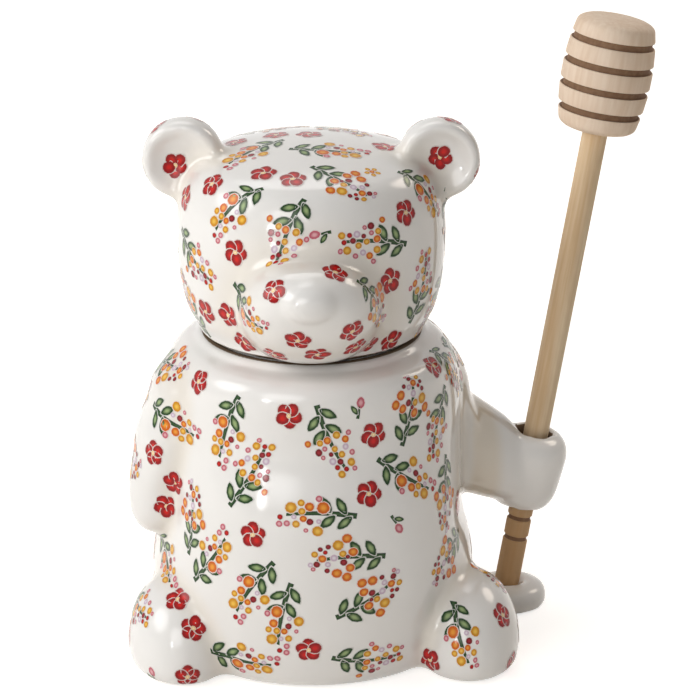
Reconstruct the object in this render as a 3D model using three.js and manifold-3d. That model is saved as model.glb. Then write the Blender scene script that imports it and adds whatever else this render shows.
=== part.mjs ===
// Seated-bear honey pot: a slip-cast stoneware pot, a lid shaped as the bear's head, and a turned wooden dipper
// that stands in the bear's ring-shaped hand. Millimetres, +Z up, the bear looks along -Y.
// The origin is the middle of the pot's flat standing face.
import * as THREE from "three";
import { mergeVertices } from "three/addons/utils/BufferGeometryUtils.js";
import Module from "manifold-3d";

const wasm = await Module();
wasm.setup();

const degrees = Math.PI / 180;

// Pot: flat base, wide belly, slight waist, chest, then a shoulder that closes in to the rim of the mouth
const baseRadius = 37.5;
const bellyRadius = 42.5;
const bellyHeight = 18;
const waistRadius = 39.3;
const waistRise = 25;
const chestRadius = 39;
const chestRise = 21;
const rimRadius = 30.5;
const shoulderRise = 21.2;
const rimEdge = 1.6;
const mouthRadius = 26;
const mouthDepth = 6;
const potWall = 4;
const potFloor = 5;

// Pot's front: a fuller belly that ends in a soft ledge, and a chest that stays upright to a tighter shoulder
const bellyFrontReach = 3.5;
const bellyFrontRise = 12;
const ledgeTopDrop = 4;
const ledgeFootDrop = 10;
const chestFrontReach = 1.3;
const chestFrontRise = 6;
const frontFlatHalfAngle = 25 * degrees;
const frontHalfAngle = 80 * degrees;

// Legs: domed lobes beside the belly, with flat soles
const legHalfWidth = 14.3;
const legHalfLength = 19.5;
const legHeight = 24;
const legSoleEdge = 3.6;
const rightLegStandOff = -2.4;
const rightLegAngle = 27 * degrees;
const leftLegStandOff = 2;
const leftLegAngle = 31.5 * degrees;

// Hanging arm on the bear's right, a relief down the pot's side that ends in a round paw
const armTopDrop = 3;
const armLength = 50.5;
const armHalfWidth = 14;
const pawHalfWidth = 9.5;
const armHalfThickness = 8;
const pawStandOff = 1.8;
const armForward = 8 * degrees;

// Reaching arm on the bear's left: a shoulder, a forearm that turns outwards, and a hand like a bored barrel
const reachAngle = 13 * degrees;
const reachTopDrop = 5;
const elbowDrop = 34.6;
const elbowStandOff = 2;
const upperArmHalfWidth = 12;
const upperArmHalfThickness = 6.5;
const forearmHalfWidth = 10.5;
const forearmHalfHeight = 12;
const wristHalfWidth = 8.5;
const wristHalfHeight = 7.5;
const wristDrop = 4.5;
const handRadius = 9.6;
const handHeight = 23.6;
const handTopRounding = 4.5;
const handFootRounding = 8.6;
const handRise = 33.8;
const handTilt = 12 * degrees;
const boreClearance = 1.5;
const handInset = 0.7;

// Rest for the dipper's foot: a low boss, joined to the pot's side, with a shallow socket
const restReach = 13;
const restRadius = 10.2;
const restWall = 3.4;
const restHeight = 6.2;
const restForward = 1.8;
const socketDepth = 2.1;
const socketClearance = 0.9;
const dipperLean = 10.3 * degrees;

// Lid: the head, a hollow shell with a locating flange that drops into the mouth
const lidSeatGap = 0.3;
const lidTurn = -5.5 * degrees;
const lidInset = 1;
const lidEdge = 2.2;
const cheekRadius = 34.5;
const cheekRise = 25.3;
const crownRadius = 25.5;
const crownRise = 21.1;
const domeRise = 3.8;
const headWall = 4;
const flangeClearance = 0.8;
const flangeWall = 2.8;
const flangeDepth = 7.5;

// Ears: round dishes set into the crown's sides
const earRadius = 10.8;
const earThickness = 10;
const earDishRadius = 7.2;
const earDishDepth = 3;
const earElevation = 32 * degrees;
const earStandOff = 2.9;
const earOutward = 6 * degrees;

// Muzzle: a broad rounded snout that leans forwards to a small nose, flat underneath where it clears the pot
const muzzleHalfWidth = 18.2;
const muzzleHalfDepth = 17;
const muzzleHalfHeight = 15.5;
const muzzleFullness = 2.2;
const muzzleRise = 14;
const muzzleSink = 5.5;
const muzzleLean = 0.5;
const muzzleLift = 0.5;
const noseHalfWidth = 7.5;
const noseHalfHeight = 5.5;
const noseHalfDepth = 5;
const noseReach = 16.2;
const noseRise = 7.5;

// Dipper: a straight dowel with two turned rings near its foot, glued into a barrel-shaped head cut by grooves
const handleRadius = 3.35;
const handleLength = 129;
const footRounding = 1;
const ringHeights = [14, 19.8];
const ringDepth = 0.35;
const ringWidth = 1.6;
const headLength = 30;
const headMidRadius = 11.9;
const headEndRadius = 9.9;
const headEdge = 1;
const grooveCount = 4;
const grooveWidth = 1.9;
const grooveDepth = 4.6;
const endDiscLength = 4.6;
const tenonLength = 14;
const glueGap = 0.15;

// Slip joint left between pieces that are cast apart and stuck together before firing
const luteGap = 0.3;
const dipperSeatGap = 0.3;

// Facets
const roundSegments = 40;
const turnedSegments = 28;
const weld = 1e-4;

// Heights and radii that follow from the driving dimensions
const waistHeight = bellyHeight + waistRise;
const chestHeight = waistHeight + chestRise;
const rimHeight = chestHeight + shoulderRise;
const lidHeight = rimHeight + lidSeatGap;
const headHeight = cheekRise + crownRise + domeRise;
const dipperFootReach = bellyRadius + restReach;
const dipperFootHeight = restHeight - socketDepth + dipperSeatGap;

const glaze = new THREE.MeshStandardMaterial({ color: 0xf1eee9, roughness: 0.12, metalness: 0 });
const headWood = new THREE.MeshStandardMaterial({ color: 0xe0cdb4, roughness: 0.6, metalness: 0 });
const handleWood = new THREE.MeshStandardMaterial({ color: 0xd2b283, roughness: 0.55, metalness: 0 });

const point = (x, y) => new THREE.Vector2(x, y);
const bend = (from, a, b, to, steps) => new THREE.CubicBezierCurve(from, a, b, to).getPoints(steps);

// Solids for joining and cutting
function solidOf(geometry) {
  const bare = new THREE.BufferGeometry();
  bare.setAttribute("position", geometry.getAttribute("position"));
  bare.setIndex(geometry.index);
  const merged = mergeVertices(bare, weld);
  const corners = merged.index.array;
  const faces = [];
  for (let i = 0; i < corners.length; i += 3) {
    const [a, b, c] = corners.subarray(i, i + 3);
    if (a !== b && b !== c && c !== a) faces.push(a, b, c);
  }
  return new wasm.Manifold(
    new wasm.Mesh({
      numProp: 3,
      vertProperties: merged.getAttribute("position").array,
      triVerts: new Uint32Array(faces),
    }),
  );
}

function geometryOf(solid) {
  const { vertProperties, triVerts } = solid.getMesh();
  const geometry = new THREE.BufferGeometry();
  geometry.setAttribute("position", new THREE.BufferAttribute(new Float32Array(vertProperties), 3));
  geometry.setIndex(new THREE.BufferAttribute(new Uint32Array(triVerts), 1));
  geometry.computeVertexNormals();
  return geometry;
}

function named(name, geometry, material) {
  const mesh = new THREE.Mesh(geometry, material);
  mesh.name = name;
  return mesh;
}

// A profile of (radius, height) points turned about the Z axis
function turned(profile, segments) {
  return new THREE.LatheGeometry(profile, segments).rotateX(Math.PI / 2);
}

// The profile moved outwards by a distance, its ends kept on the axis
function movedOut(profile, distance) {
  return profile.map((p, i) => {
    const before = profile[Math.max(i - 1, 0)];
    const after = profile[Math.min(i + 1, profile.length - 1)];
    const along = after.clone().sub(before).normalize();
    const moved = point(p.x + along.y * distance, p.y - along.x * distance);
    return p.x === 0 ? point(0, moved.y) : moved;
  });
}

// Radius of a profile at a height
function radiusAt(profile, height) {
  const above = profile.findIndex((p, i) => i > 0 && p.y >= height && profile[i - 1].y < height);
  const [low, high] = [profile[above - 1], profile[above]];
  return THREE.MathUtils.mapLinear(height, low.y, high.y, low.x, high.x);
}

// Oval sections set at stations along a curve, closed by a point at each end. A station is a place and two half
// sizes, the first along Y and the second across it.
function limb(stations) {
  const rings = 14;
  const sides = 20;
  const curve = new THREE.CatmullRomCurve3(stations.map((station) => station.place));
  const vertices = [...curve.getPoint(0)];
  for (let ring = 1; ring < rings; ring++) {
    const t = (1 - Math.cos((Math.PI * ring) / rings)) / 2;
    const along = curve.getTangent(t);
    const side = new THREE.Vector3(0, 1, 0).addScaledVector(along, -along.y).normalize();
    const up = new THREE.Vector3().crossVectors(along, side);
    const step = t * (stations.length - 1);
    const from = stations[Math.floor(step)];
    const to = stations[Math.ceil(step)];
    const share = THREE.MathUtils.smoothstep(step % 1, 0, 1);
    const halfSide = THREE.MathUtils.lerp(from.halfSide, to.halfSide, share) * roundedEnds(t);
    const halfUp = THREE.MathUtils.lerp(from.halfUp, to.halfUp, share) * roundedEnds(t);
    for (let k = 0; k < sides; k++) {
      const turn = (2 * Math.PI * k) / sides;
      const place = curve
        .getPoint(t)
        .addScaledVector(side, halfSide * Math.cos(turn))
        .addScaledVector(up, halfUp * Math.sin(turn));
      vertices.push(...place);
    }
  }
  vertices.push(...curve.getPoint(1));
  const faces = [];
  const last = vertices.length / 3 - 1;
  const at = (ring, k) => 1 + (ring - 1) * sides + (k % sides);
  for (let k = 0; k < sides; k++) {
    faces.push(0, at(1, k + 1), at(1, k));
    for (let ring = 1; ring < rings - 1; ring++) {
      faces.push(at(ring, k), at(ring, k + 1), at(ring + 1, k + 1));
      faces.push(at(ring, k), at(ring + 1, k + 1), at(ring + 1, k));
    }
    faces.push(last, at(rings - 1, k), at(rings - 1, k + 1));
  }
  const geometry = new THREE.BufferGeometry();
  geometry.setAttribute("position", new THREE.Float32BufferAttribute(vertices, 3));
  geometry.setIndex(faces);
  return geometry;
}

// Rounds a limb's sections off over the first and last fifth of its length
function roundedEnds(t) {
  const fromEnd = 1 - Math.min(t, 1 - t, 0.2) / 0.2;
  return Math.sqrt(1 - fromEnd * fromEnd);
}

// Pot outline from the middle of the base up to the top of the rim
const potFlank = [
  ...bend(
    point(baseRadius, 0),
    point((baseRadius + bellyRadius) / 2, 0),
    point(bellyRadius, bellyHeight * 0.3),
    point(bellyRadius, bellyHeight),
    5,
  ),
  ...bend(
    point(bellyRadius, bellyHeight),
    point(bellyRadius, bellyHeight + waistRise / 2),
    point(waistRadius, waistHeight - waistRise / 2),
    point(waistRadius, waistHeight),
    7,
  ).slice(1),
  ...bend(
    point(waistRadius, waistHeight),
    point(waistRadius, waistHeight + chestRise / 3),
    point(chestRadius, chestHeight - chestRise / 3),
    point(chestRadius, chestHeight),
    7,
  ).slice(1),
  ...bend(
    point(chestRadius, chestHeight),
    point(chestRadius, chestHeight + shoulderRise * 0.62),
    point(THREE.MathUtils.lerp(rimRadius, chestRadius, 0.75), rimHeight - rimEdge * 2),
    point(rimRadius, rimHeight - rimEdge),
    9,
  ).slice(1),
];
const potRim = bend(
  point(rimRadius, rimHeight - rimEdge),
  point(rimRadius - rimEdge / 2, rimHeight - rimEdge / 4),
  point(rimRadius - rimEdge, rimHeight),
  point(rimRadius - rimEdge * 1.5, rimHeight),
  3,
).slice(1);
const potOutline = [point(0, 0), ...potFlank, ...potRim, point(0, rimHeight)];
const potRadiusAt = (height) => radiusAt(potFlank, height);

// Outline of the front from the edge of the base to the foot of the rim
const bellyFront = point(bellyRadius + bellyFrontReach, bellyHeight + bellyFrontRise);
const chestFront = point(chestRadius + chestFrontReach, chestHeight + chestFrontRise);
const rimFoot = point(rimRadius, rimHeight - rimEdge);
const potFront = [
  ...bend(
    point(baseRadius, 0),
    point((baseRadius + bellyFront.x) / 2, 0),
    point(bellyFront.x, bellyFront.y * 0.3),
    bellyFront,
    6,
  ),
  ...bend(
    bellyFront,
    point(bellyFront.x, chestHeight - ledgeTopDrop),
    point(chestFront.x, chestHeight - ledgeFootDrop),
    chestFront,
    10,
  ).slice(1),
  ...bend(
    chestFront,
    point(chestFront.x, rimFoot.y - rimEdge),
    point(chestFront.x - rimEdge / 5, rimFoot.y - rimEdge / 16),
    rimFoot,
    9,
  ).slice(1),
];

// How far the front outline stands out from the flank at a place, fading out towards the sides
function frontFill(x, y, z) {
  if (z <= 0 || z >= rimFoot.y) return 0;
  const turn = Math.abs(Math.atan2(x, -y));
  const share = 1 - THREE.MathUtils.smoothstep(turn, frontFlatHalfAngle, frontHalfAngle);
  return share * (radiusAt(potFront, z) - potRadiusAt(z));
}

function potForm(outset) {
  const geometry = turned(movedOut(potOutline, outset), roundSegments);
  const places = geometry.getAttribute("position");
  for (let i = 0; i < places.count; i++) {
    const [x, y, z] = [places.getX(i), places.getY(i), places.getZ(i)];
    const radius = Math.hypot(x, y);
    if (radius < baseRadius / 2) continue;
    const stretch = (radius + frontFill(x, y, z)) / radius;
    places.setXY(i, x * stretch, y * stretch);
  }
  return solidOf(geometry);
}

function potCavity() {
  const above = rimHeight + potWall;
  const neck = rimHeight - mouthDepth;
  const profile = [
    point(0, potFloor),
    ...bend(
      point(baseRadius - potWall, potFloor),
      point(bellyRadius - potWall * 1.5, potFloor),
      point(bellyRadius - potWall, potFloor + bellyHeight / 4),
      point(bellyRadius - potWall, potFloor + bellyHeight),
      3,
    ),
    point(waistRadius - potWall, waistHeight),
    point(chestRadius - potWall, chestHeight),
    ...bend(
      point(chestRadius - potWall, chestHeight),
      point(chestRadius - potWall, chestHeight + (neck - chestHeight) / 2),
      point(mouthRadius + potWall, neck - (neck - chestHeight) / 4),
      point(mouthRadius, neck),
      4,
    ).slice(1),
    point(mouthRadius, above),
    point(0, above),
  ];
  return solidOf(turned(profile, roundSegments));
}

const potCutter = potForm(luteGap);

function legForm(side, standOff, angle, outset) {
  const dome = turned(
    [
      point(0, 0),
      ...bend(
        point(1 - legSoleEdge / legHalfWidth, 0),
        point(1 - legSoleEdge / legHalfWidth / 3, 0),
        point(1, legSoleEdge / 3),
        point(1, legSoleEdge * 1.5),
        4,
      ),
      ...bend(
        point(1, legSoleEdge * 1.5),
        point(1, legHeight * 0.7),
        point(0.62, legHeight),
        point(0, legHeight),
        8,
      ).slice(1),
    ],
    turnedSegments,
  );
  const away = bellyRadius + standOff;
  dome.scale(legHalfWidth + outset, legHalfLength + outset, 1 + outset / legHeight);
  dome.translate(side * away * Math.cos(angle), -away * Math.sin(angle), 0);
  return solidOf(dome);
}

const rightLegForm = (outset) => legForm(-1, rightLegStandOff, rightLegAngle, outset);
const leftLegForm = (outset) => legForm(1, leftLegStandOff, leftLegAngle, outset);

function hangingArm() {
  const top = rimHeight - armTopDrop;
  const station = (share, outset, halfSide, halfUp) => {
    const height = top - share * armLength;
    const away = potRadiusAt(height) + outset;
    const place = new THREE.Vector3(-away * Math.cos(armForward), -away * Math.sin(armForward), height);
    return { place, halfSide, halfUp };
  };
  const form = limb([
    station(0, -armHalfThickness * 0.8, armHalfWidth, armHalfThickness),
    station(0.22, -armHalfThickness * 0.5, armHalfWidth, armHalfThickness),
    station(0.5, 0, armHalfWidth, armHalfThickness),
    station(0.78, pawStandOff, pawHalfWidth, armHalfThickness),
    station(1, pawStandOff, pawHalfWidth, armHalfThickness),
  ]);
  return geometryOf(solidOf(form).subtract(potCutter));
}

// The dipper's own frame: its foot stands at the origin and its axis is +Z. Everything that holds the dipper uses it.
const reachTurn = new THREE.Matrix4().makeRotationZ(reachAngle);
const dipperFrame = reachTurn
  .clone()
  .multiply(new THREE.Matrix4().makeTranslation(dipperFootReach, 0, dipperFootHeight))
  .multiply(new THREE.Matrix4().makeRotationY(dipperLean));

// A straight cutter along the dipper's axis
function dipperCutter(radius, from, to) {
  const profile = [point(0, from), point(radius, from), point(radius, to), point(0, to)];
  return turned(profile, turnedSegments);
}

function reachingArm() {
  const low = -handHeight / 2;
  const high = handHeight / 2;
  const hand = turned(
    [
      point(0, low),
      ...bend(
        point(handRadius - handFootRounding, low),
        point(handRadius - handFootRounding / 3, low),
        point(handRadius, low + handFootRounding / 3),
        point(handRadius, low + handFootRounding),
        6,
      ),
      ...bend(
        point(handRadius, high - handTopRounding),
        point(handRadius, high - handTopRounding / 3),
        point(handRadius - handTopRounding / 3, high),
        point(handRadius - handTopRounding, high),
        5,
      ),
      point(0, high),
    ],
    turnedSegments,
  );
  hand.rotateX(handTilt).translate(-handInset, 0, handRise).applyMatrix4(dipperFrame);
  const station = (place, halfSide, halfUp) => ({ place, halfSide, halfUp });
  const onPot = (drop, outset) => {
    const height = rimHeight - drop;
    return new THREE.Vector3(potRadiusAt(height) + outset, 0, height).applyMatrix4(reachTurn);
  };
  const wrist = new THREE.Vector3(0, 0, handRise).applyMatrix4(dipperFrame);
  wrist.z -= wristDrop;
  const elbow = onPot(elbowDrop, 0);
  const elbowOut = onPot(elbowDrop, elbowStandOff);
  const upperArm = limb([
    station(onPot(reachTopDrop, -upperArmHalfThickness * 0.9), upperArmHalfWidth, upperArmHalfThickness),
    station(onPot(elbowDrop / 2, -upperArmHalfThickness * 0.4), upperArmHalfWidth, upperArmHalfThickness),
    station(elbowOut, upperArmHalfWidth, upperArmHalfThickness),
  ]);
  const forearm = limb([
    station(elbow.clone().lerp(wrist, -0.4), forearmHalfWidth, forearmHalfHeight),
    station(elbow.clone().lerp(wrist, 0.3), forearmHalfWidth, forearmHalfHeight),
    station(wrist, wristHalfWidth, wristHalfHeight),
  ]);
  const bore = dipperCutter(handleRadius + boreClearance, handRise - handHeight, handRise + handHeight);
  bore.translate(-handInset, 0, 0).applyMatrix4(dipperFrame);
  return geometryOf(
    solidOf(upperArm)
      .add(solidOf(forearm))
      .add(solidOf(hand))
      .subtract(potCutter)
      .subtract(solidOf(bore)),
  );
}

function dipperRest() {
  const boss = turned(
    [
      point(0, 0),
      point(restRadius, 0),
      ...bend(
        point(restRadius, restWall),
        point(restRadius * 0.98, restHeight * 0.9),
        point(restRadius * 0.7, restHeight),
        point(restRadius * 0.5, restHeight),
        4,
      ),
      point(0, restHeight),
    ],
    turnedSegments,
  );
  const places = boss.getAttribute("position");
  for (let i = 0; i < places.count; i++) {
    if (places.getX(i) < -weld) places.setX(i, places.getX(i) - bellyRadius / 2);
  }
  boss.translate(dipperFootReach, -restForward, 0).applyMatrix4(reachTurn);
  const socket = dipperCutter(handleRadius + socketClearance, -dipperSeatGap, handHeight);
  socket.applyMatrix4(dipperFrame);
  return geometryOf(
    solidOf(boss).subtract(potCutter).subtract(leftLegForm(luteGap)).subtract(solidOf(socket)),
  );
}

// Head outline from its lower edge up to the crown, moved in by a wall for the hollow
function headFlank(inset) {
  const edgeRadius = rimRadius - lidInset - inset;
  const cheek = point(cheekRadius - inset, lidHeight + cheekRise);
  const crown = point(crownRadius - inset / 2, lidHeight + cheekRise + crownRise - inset);
  const top = point(0, lidHeight + headHeight - inset);
  return [
    ...bend(
      point(edgeRadius, lidHeight + lidEdge),
      point(edgeRadius + (cheek.x - edgeRadius) * 0.7, lidHeight + lidEdge + cheekRise * 0.2),
      point(cheek.x, cheek.y - cheekRise * 0.45),
      cheek,
      5,
    ),
    ...bend(
      cheek,
      point(cheek.x, cheek.y + crownRise * 0.62),
      point(crown.x + (cheek.x - crown.x) * 0.72, crown.y - crownRise * 0.06),
      crown,
      7,
    ).slice(1),
    ...bend(
      crown,
      point(crown.x * 0.7, crown.y + domeRise * 0.62),
      point(crown.x * 0.35, top.y),
      top,
      4,
    ).slice(1),
  ];
}

// The lower edge curls under from the flank to the flat face that sits on the pot's rim
const lidUnderEdge = bend(
  point(rimRadius - lidInset - lidEdge, lidHeight),
  point(rimRadius - lidInset - lidEdge / 2, lidHeight),
  point(rimRadius - lidInset - lidEdge / 8, lidHeight + lidEdge / 2),
  point(rimRadius - lidInset, lidHeight + lidEdge),
  3,
).slice(0, -1);

function headForm(outset) {
  const profile = [point(0, lidHeight), ...lidUnderEdge, ...headFlank(0)];
  return solidOf(turned(movedOut(profile, outset), roundSegments));
}

function headShell() {
  const flangeOuter = mouthRadius - flangeClearance;
  const flangeInner = flangeOuter - flangeWall;
  const flangeFoot = lidHeight - flangeDepth;
  const hollow = headFlank(headWall);
  const profile = [
    ...hollow.slice(1).reverse(),
    point(flangeInner, lidHeight),
    point(flangeInner, flangeFoot),
    point(flangeOuter, flangeFoot),
    point(flangeOuter, lidHeight),
    ...lidUnderEdge,
    ...headFlank(0),
  ];
  return turned(profile, roundSegments);
}

const headOutline = headFlank(0);
const headCutter = headForm(luteGap);
const headMiddle = lidHeight + cheekRise;

// Place on the head's outline seen from the head's middle at an elevation
function headEdgeAt(elevation) {
  const steep = Math.tan(elevation);
  const slopeOf = (p) => (p.y - headMiddle) / Math.max(p.x, weld);
  const above = headOutline.findIndex((p) => p.y > headMiddle && slopeOf(p) >= steep);
  const [low, high] = [headOutline[above - 1], headOutline[above]];
  const share = (steep - slopeOf(low)) / (slopeOf(high) - slopeOf(low));
  return low.clone().lerp(high, share);
}

function ear(side) {
  const half = earThickness / 2;
  const dished = turned(
    [
      point(0, -half),
      ...bend(
        point(earRadius - half, -half),
        point(earRadius - half * 0.45, -half),
        point(earRadius, -half * 0.55),
        point(earRadius, 0),
        4,
      ),
      ...bend(
        point(earRadius, 0),
        point(earRadius, half * 0.75),
        point(earRadius - (earRadius - earDishRadius) * 0.2, half),
        point((earRadius + earDishRadius) / 2, half),
        4,
      ).slice(1),
      ...bend(
        point((earRadius + earDishRadius) / 2, half),
        point(earDishRadius, half),
        point(earDishRadius, half - earDishDepth),
        point(0, half - earDishDepth),
        5,
      ).slice(1),
    ],
    turnedSegments,
  );
  const root = headEdgeAt(earElevation);
  dished.rotateX(Math.PI / 2);
  dished.rotateZ(side * earOutward);
  dished.translate(
    side * (root.x + earStandOff * Math.cos(earElevation)),
    0,
    root.y + earStandOff * Math.sin(earElevation),
  );
  return geometryOf(solidOf(dished).subtract(headCutter));
}

// Push a unit sphere out towards its corners: a fullness of 2 leaves it round
function fuller(sphere, fullness) {
  const places = sphere.getAttribute("position");
  for (let i = 0; i < places.count; i++) {
    const place = new THREE.Vector3().fromBufferAttribute(places, i);
    const power = (part) => Math.abs(part) ** fullness;
    place.divideScalar((power(place.x) + power(place.y) + power(place.z)) ** (1 / fullness));
    places.setXYZ(i, place.x, place.y, place.z);
  }
  return sphere;
}

function muzzle() {
  const middleHeight = lidHeight + muzzleRise;
  const middleForward = radiusAt(headOutline, middleHeight) - muzzleSink;
  const snout = fuller(new THREE.SphereGeometry(1, 28, 18), muzzleFullness);
  snout.scale(muzzleHalfWidth, muzzleHalfDepth, muzzleHalfHeight);
  snout.applyMatrix4(new THREE.Matrix4().makeShear(0, 0, 0, 0, 0, -muzzleLean));
  snout.translate(0, -middleForward, middleHeight);
  const nose = new THREE.SphereGeometry(1, 20, 14);
  nose.scale(noseHalfWidth, noseHalfDepth, noseHalfHeight);
  nose.translate(0, -middleForward - noseReach, middleHeight + noseRise);
  return geometryOf(
    solidOf(snout)
      .add(solidOf(nose))
      .subtract(headCutter)
      .trimByPlane([0, 0, 1], lidHeight + muzzleLift),
  );
}

function dipperHandle() {
  const rings = ringHeights.flatMap((height) => [
    point(handleRadius, height - ringWidth / 2),
    point(handleRadius - ringDepth, height),
    point(handleRadius, height + ringWidth / 2),
  ]);
  return turned(
    [
      point(0, 0),
      ...bend(
        point(handleRadius - footRounding, 0),
        point(handleRadius - footRounding / 2, 0),
        point(handleRadius, footRounding / 2),
        point(handleRadius, footRounding),
        3,
      ),
      ...rings,
      point(handleRadius, handleLength + tenonLength),
      point(0, handleLength + tenonLength),
    ],
    turnedSegments,
  );
}

function dipperHead() {
  const barrelRadius = (height) => {
    const across = (2 * height) / headLength - 1;
    return THREE.MathUtils.lerp(headMidRadius, headEndRadius, across * across);
  };
  const discLength = (headLength - 2 * endDiscLength - grooveCount * grooveWidth) / (grooveCount - 1);
  const socket = handleRadius + glueGap;
  const profile = [
    point(0, tenonLength + glueGap),
    point(socket, tenonLength + glueGap),
    point(socket, 0),
    ...bend(
      point(headEndRadius - 3 * headEdge, 0),
      point(headEndRadius - headEdge, 0),
      point(barrelRadius(headEdge), headEdge),
      point(barrelRadius(2 * headEdge), 2 * headEdge),
      3,
    ),
  ];
  for (let groove = 0; groove < grooveCount; groove++) {
    const low = endDiscLength + groove * (discLength + grooveWidth);
    const high = low + grooveWidth;
    const bottom = barrelRadius(low + grooveWidth / 2) - grooveDepth;
    profile.push(
      point(barrelRadius(low), low),
      point(bottom, low),
      point(bottom, high),
      point(barrelRadius(high), high),
    );
  }
  profile.push(
    ...bend(
      point(barrelRadius(headLength - headEdge), headLength - headEdge),
      point(barrelRadius(headLength), headLength - headEdge / 2),
      point(headEndRadius - headEdge / 2, headLength),
      point(headEndRadius - headEdge, headLength),
      3,
    ),
    point(0, headLength),
  );
  return turned(profile, turnedSegments).translate(0, 0, handleLength);
}

// The pot with what is stuck to it
const potGroup = new THREE.Group();
potGroup.add(
  named("pot_body", geometryOf(potForm(0).subtract(potCavity())), glaze),
  named("right_leg", geometryOf(rightLegForm(0).subtract(potCutter)), glaze),
  named("left_leg", geometryOf(leftLegForm(0).subtract(potCutter)), glaze),
  named("right_arm", hangingArm(), glaze),
  named("left_arm_ring_hand", reachingArm(), glaze),
  named("dipper_rest", dipperRest(), glaze),
);

// The lid, standing a little turned on its round seat
const lidGroup = new THREE.Group();
lidGroup.rotation.z = lidTurn;
lidGroup.add(
  named("head_shell", headShell(), glaze),
  named("right_ear", ear(-1), glaze),
  named("left_ear", ear(1), glaze),
  named("muzzle", muzzle(), glaze),
);

// The dipper in its own leaning frame
const dipperGroup = new THREE.Group();
dipperGroup.applyMatrix4(dipperFrame);
dipperGroup.add(
  named("dipper_handle", dipperHandle(), handleWood),
  named("dipper_head", dipperHead(), headWood),
);

const honeyPot = new THREE.Group();
honeyPot.add(potGroup, lidGroup, dipperGroup);

export default honeyPot;
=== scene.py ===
# Honey pot shaped as a seated bear: a glazed pot and lid with a floral print, and a turned wooden dipper
import math
import random

import bpy
from bpy.props import FloatProperty, FloatVectorProperty, IntProperty, PointerProperty
from mathutils import Matrix, Vector
from mathutils.bvhtree import BVHTree
from mathutils.geometry import interpolate_bezier


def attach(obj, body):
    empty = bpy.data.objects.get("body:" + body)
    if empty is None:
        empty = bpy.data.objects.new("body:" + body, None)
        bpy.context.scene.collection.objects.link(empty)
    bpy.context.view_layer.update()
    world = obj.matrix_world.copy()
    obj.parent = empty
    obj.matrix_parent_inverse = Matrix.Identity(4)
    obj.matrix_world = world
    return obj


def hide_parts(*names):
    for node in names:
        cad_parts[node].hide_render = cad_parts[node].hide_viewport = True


bl_info = {
    "name": "Bear Honey Pot",
    "version": (1, 0, 0),
    "blender": (4, 5, 0),
    "location": "View3D > Sidebar > Honey Pot",
    "description": "Models a glazed bear honey pot with its lid, its printed flowers and its wooden dipper",
    "category": "Add Mesh",
}

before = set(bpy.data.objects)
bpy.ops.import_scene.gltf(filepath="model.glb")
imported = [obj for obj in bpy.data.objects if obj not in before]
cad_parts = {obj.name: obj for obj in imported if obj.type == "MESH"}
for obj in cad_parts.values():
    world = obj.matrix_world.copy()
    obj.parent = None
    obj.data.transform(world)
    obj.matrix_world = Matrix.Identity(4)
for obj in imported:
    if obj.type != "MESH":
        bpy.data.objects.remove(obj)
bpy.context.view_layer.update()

MM = 0.001

# Where the dipper's foot stands beside the belly, how the dipper leans, and the hand's tilt about it
FOOT_HEIGHT = 4.4 * MM
REST_REACH = 13 * MM
REACH_ANGLE = math.radians(13)
DIPPER_LEAN = math.radians(10.3)
HAND_TILT = math.radians(12)

# Rounded edges of the rim and of the lid, and how far the lid's edge lies inside the rim
RIM_EDGE = 1.6 * MM
LID_EDGE = 2.2 * MM
LID_INSET = 1 * MM

# Features of the head, as heights above the lid's lower edge and the ears' elevation from its middle
CHEEK_RISE = 25.3 * MM
MUZZLE_RISE = 14 * MM
NOSE_RISE = 21.5 * MM
EAR_ELEVATION = math.radians(32)


def linear(hex_colour):
    """Linear colour of an sRGB hex value."""
    parts = [int(hex_colour[k:k + 2], 16) / 255 for k in (1, 3, 5)]
    return [*(c / 12.92 if c <= 0.04045 else ((c + 0.055) / 1.055) ** 2.4 for c in parts), 1.0]


def length_setting(name, description, millimetres):
    return FloatProperty(name=name, description=description, default=millimetres * MM, unit="LENGTH")


def angle_setting(name, description, degrees):
    return FloatProperty(
        name=name, description=description, default=math.radians(degrees),
        subtype="ANGLE", unit="ROTATION")


def colour_setting(name, description, hex_colour):
    return FloatVectorProperty(
        name=name, description=description, default=linear(hex_colour),
        subtype="COLOR", size=4, min=0.0, max=1.0)


class HONEYPOT_PG_pot(bpy.types.PropertyGroup):
    base_radius: length_setting("Base", "Radius of the flat standing face", 37.5)
    belly_radius: length_setting("Belly", "Widest radius, low on the pot", 42.5)
    belly_height: length_setting("Belly height", "Height of the widest place", 18)
    waist_radius: length_setting("Waist", "Radius above the belly", 39.3)
    waist_height: length_setting("Waist height", "Height of the waist", 43)
    chest_radius: length_setting("Chest", "Radius below the shoulder", 39)
    chest_height: length_setting("Chest height", "Height where the shoulder starts", 64)
    rim_radius: length_setting("Rim", "Outer radius of the mouth's rim", 30.5)
    rim_height: length_setting("Rim height", "Height of the rim's top", 85.2)
    mouth_radius: length_setting("Mouth", "Inner radius of the mouth", 26)
    wall: length_setting("Wall", "Thickness of the pot's wall", 4)
    belly_front: length_setting("Belly front", "Reach of the belly in front", 46)
    chest_front: length_setting("Chest front", "Reach of the chest in front", 40.3)
    leg_height: length_setting("Leg height", "Height of the leg lobes", 24)
    root_blend: length_setting("Root blend", "Width of the soft joint where a limb meets the pot", 6)
    glaze: colour_setting("Glaze", "Colour of the white glaze", "#F3F1EE")
    # This colour also paints warm shade on the forearm, where the pot shadows it
    pool_and_shade_tint: colour_setting("Warm glaze", "Colour of the glaze where it pools or lies thin", "#DFCDAE")
    dry_clay: colour_setting("Dry clay", "Colour of the clay where it is bare of glaze", "#D9CFBE")


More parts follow.
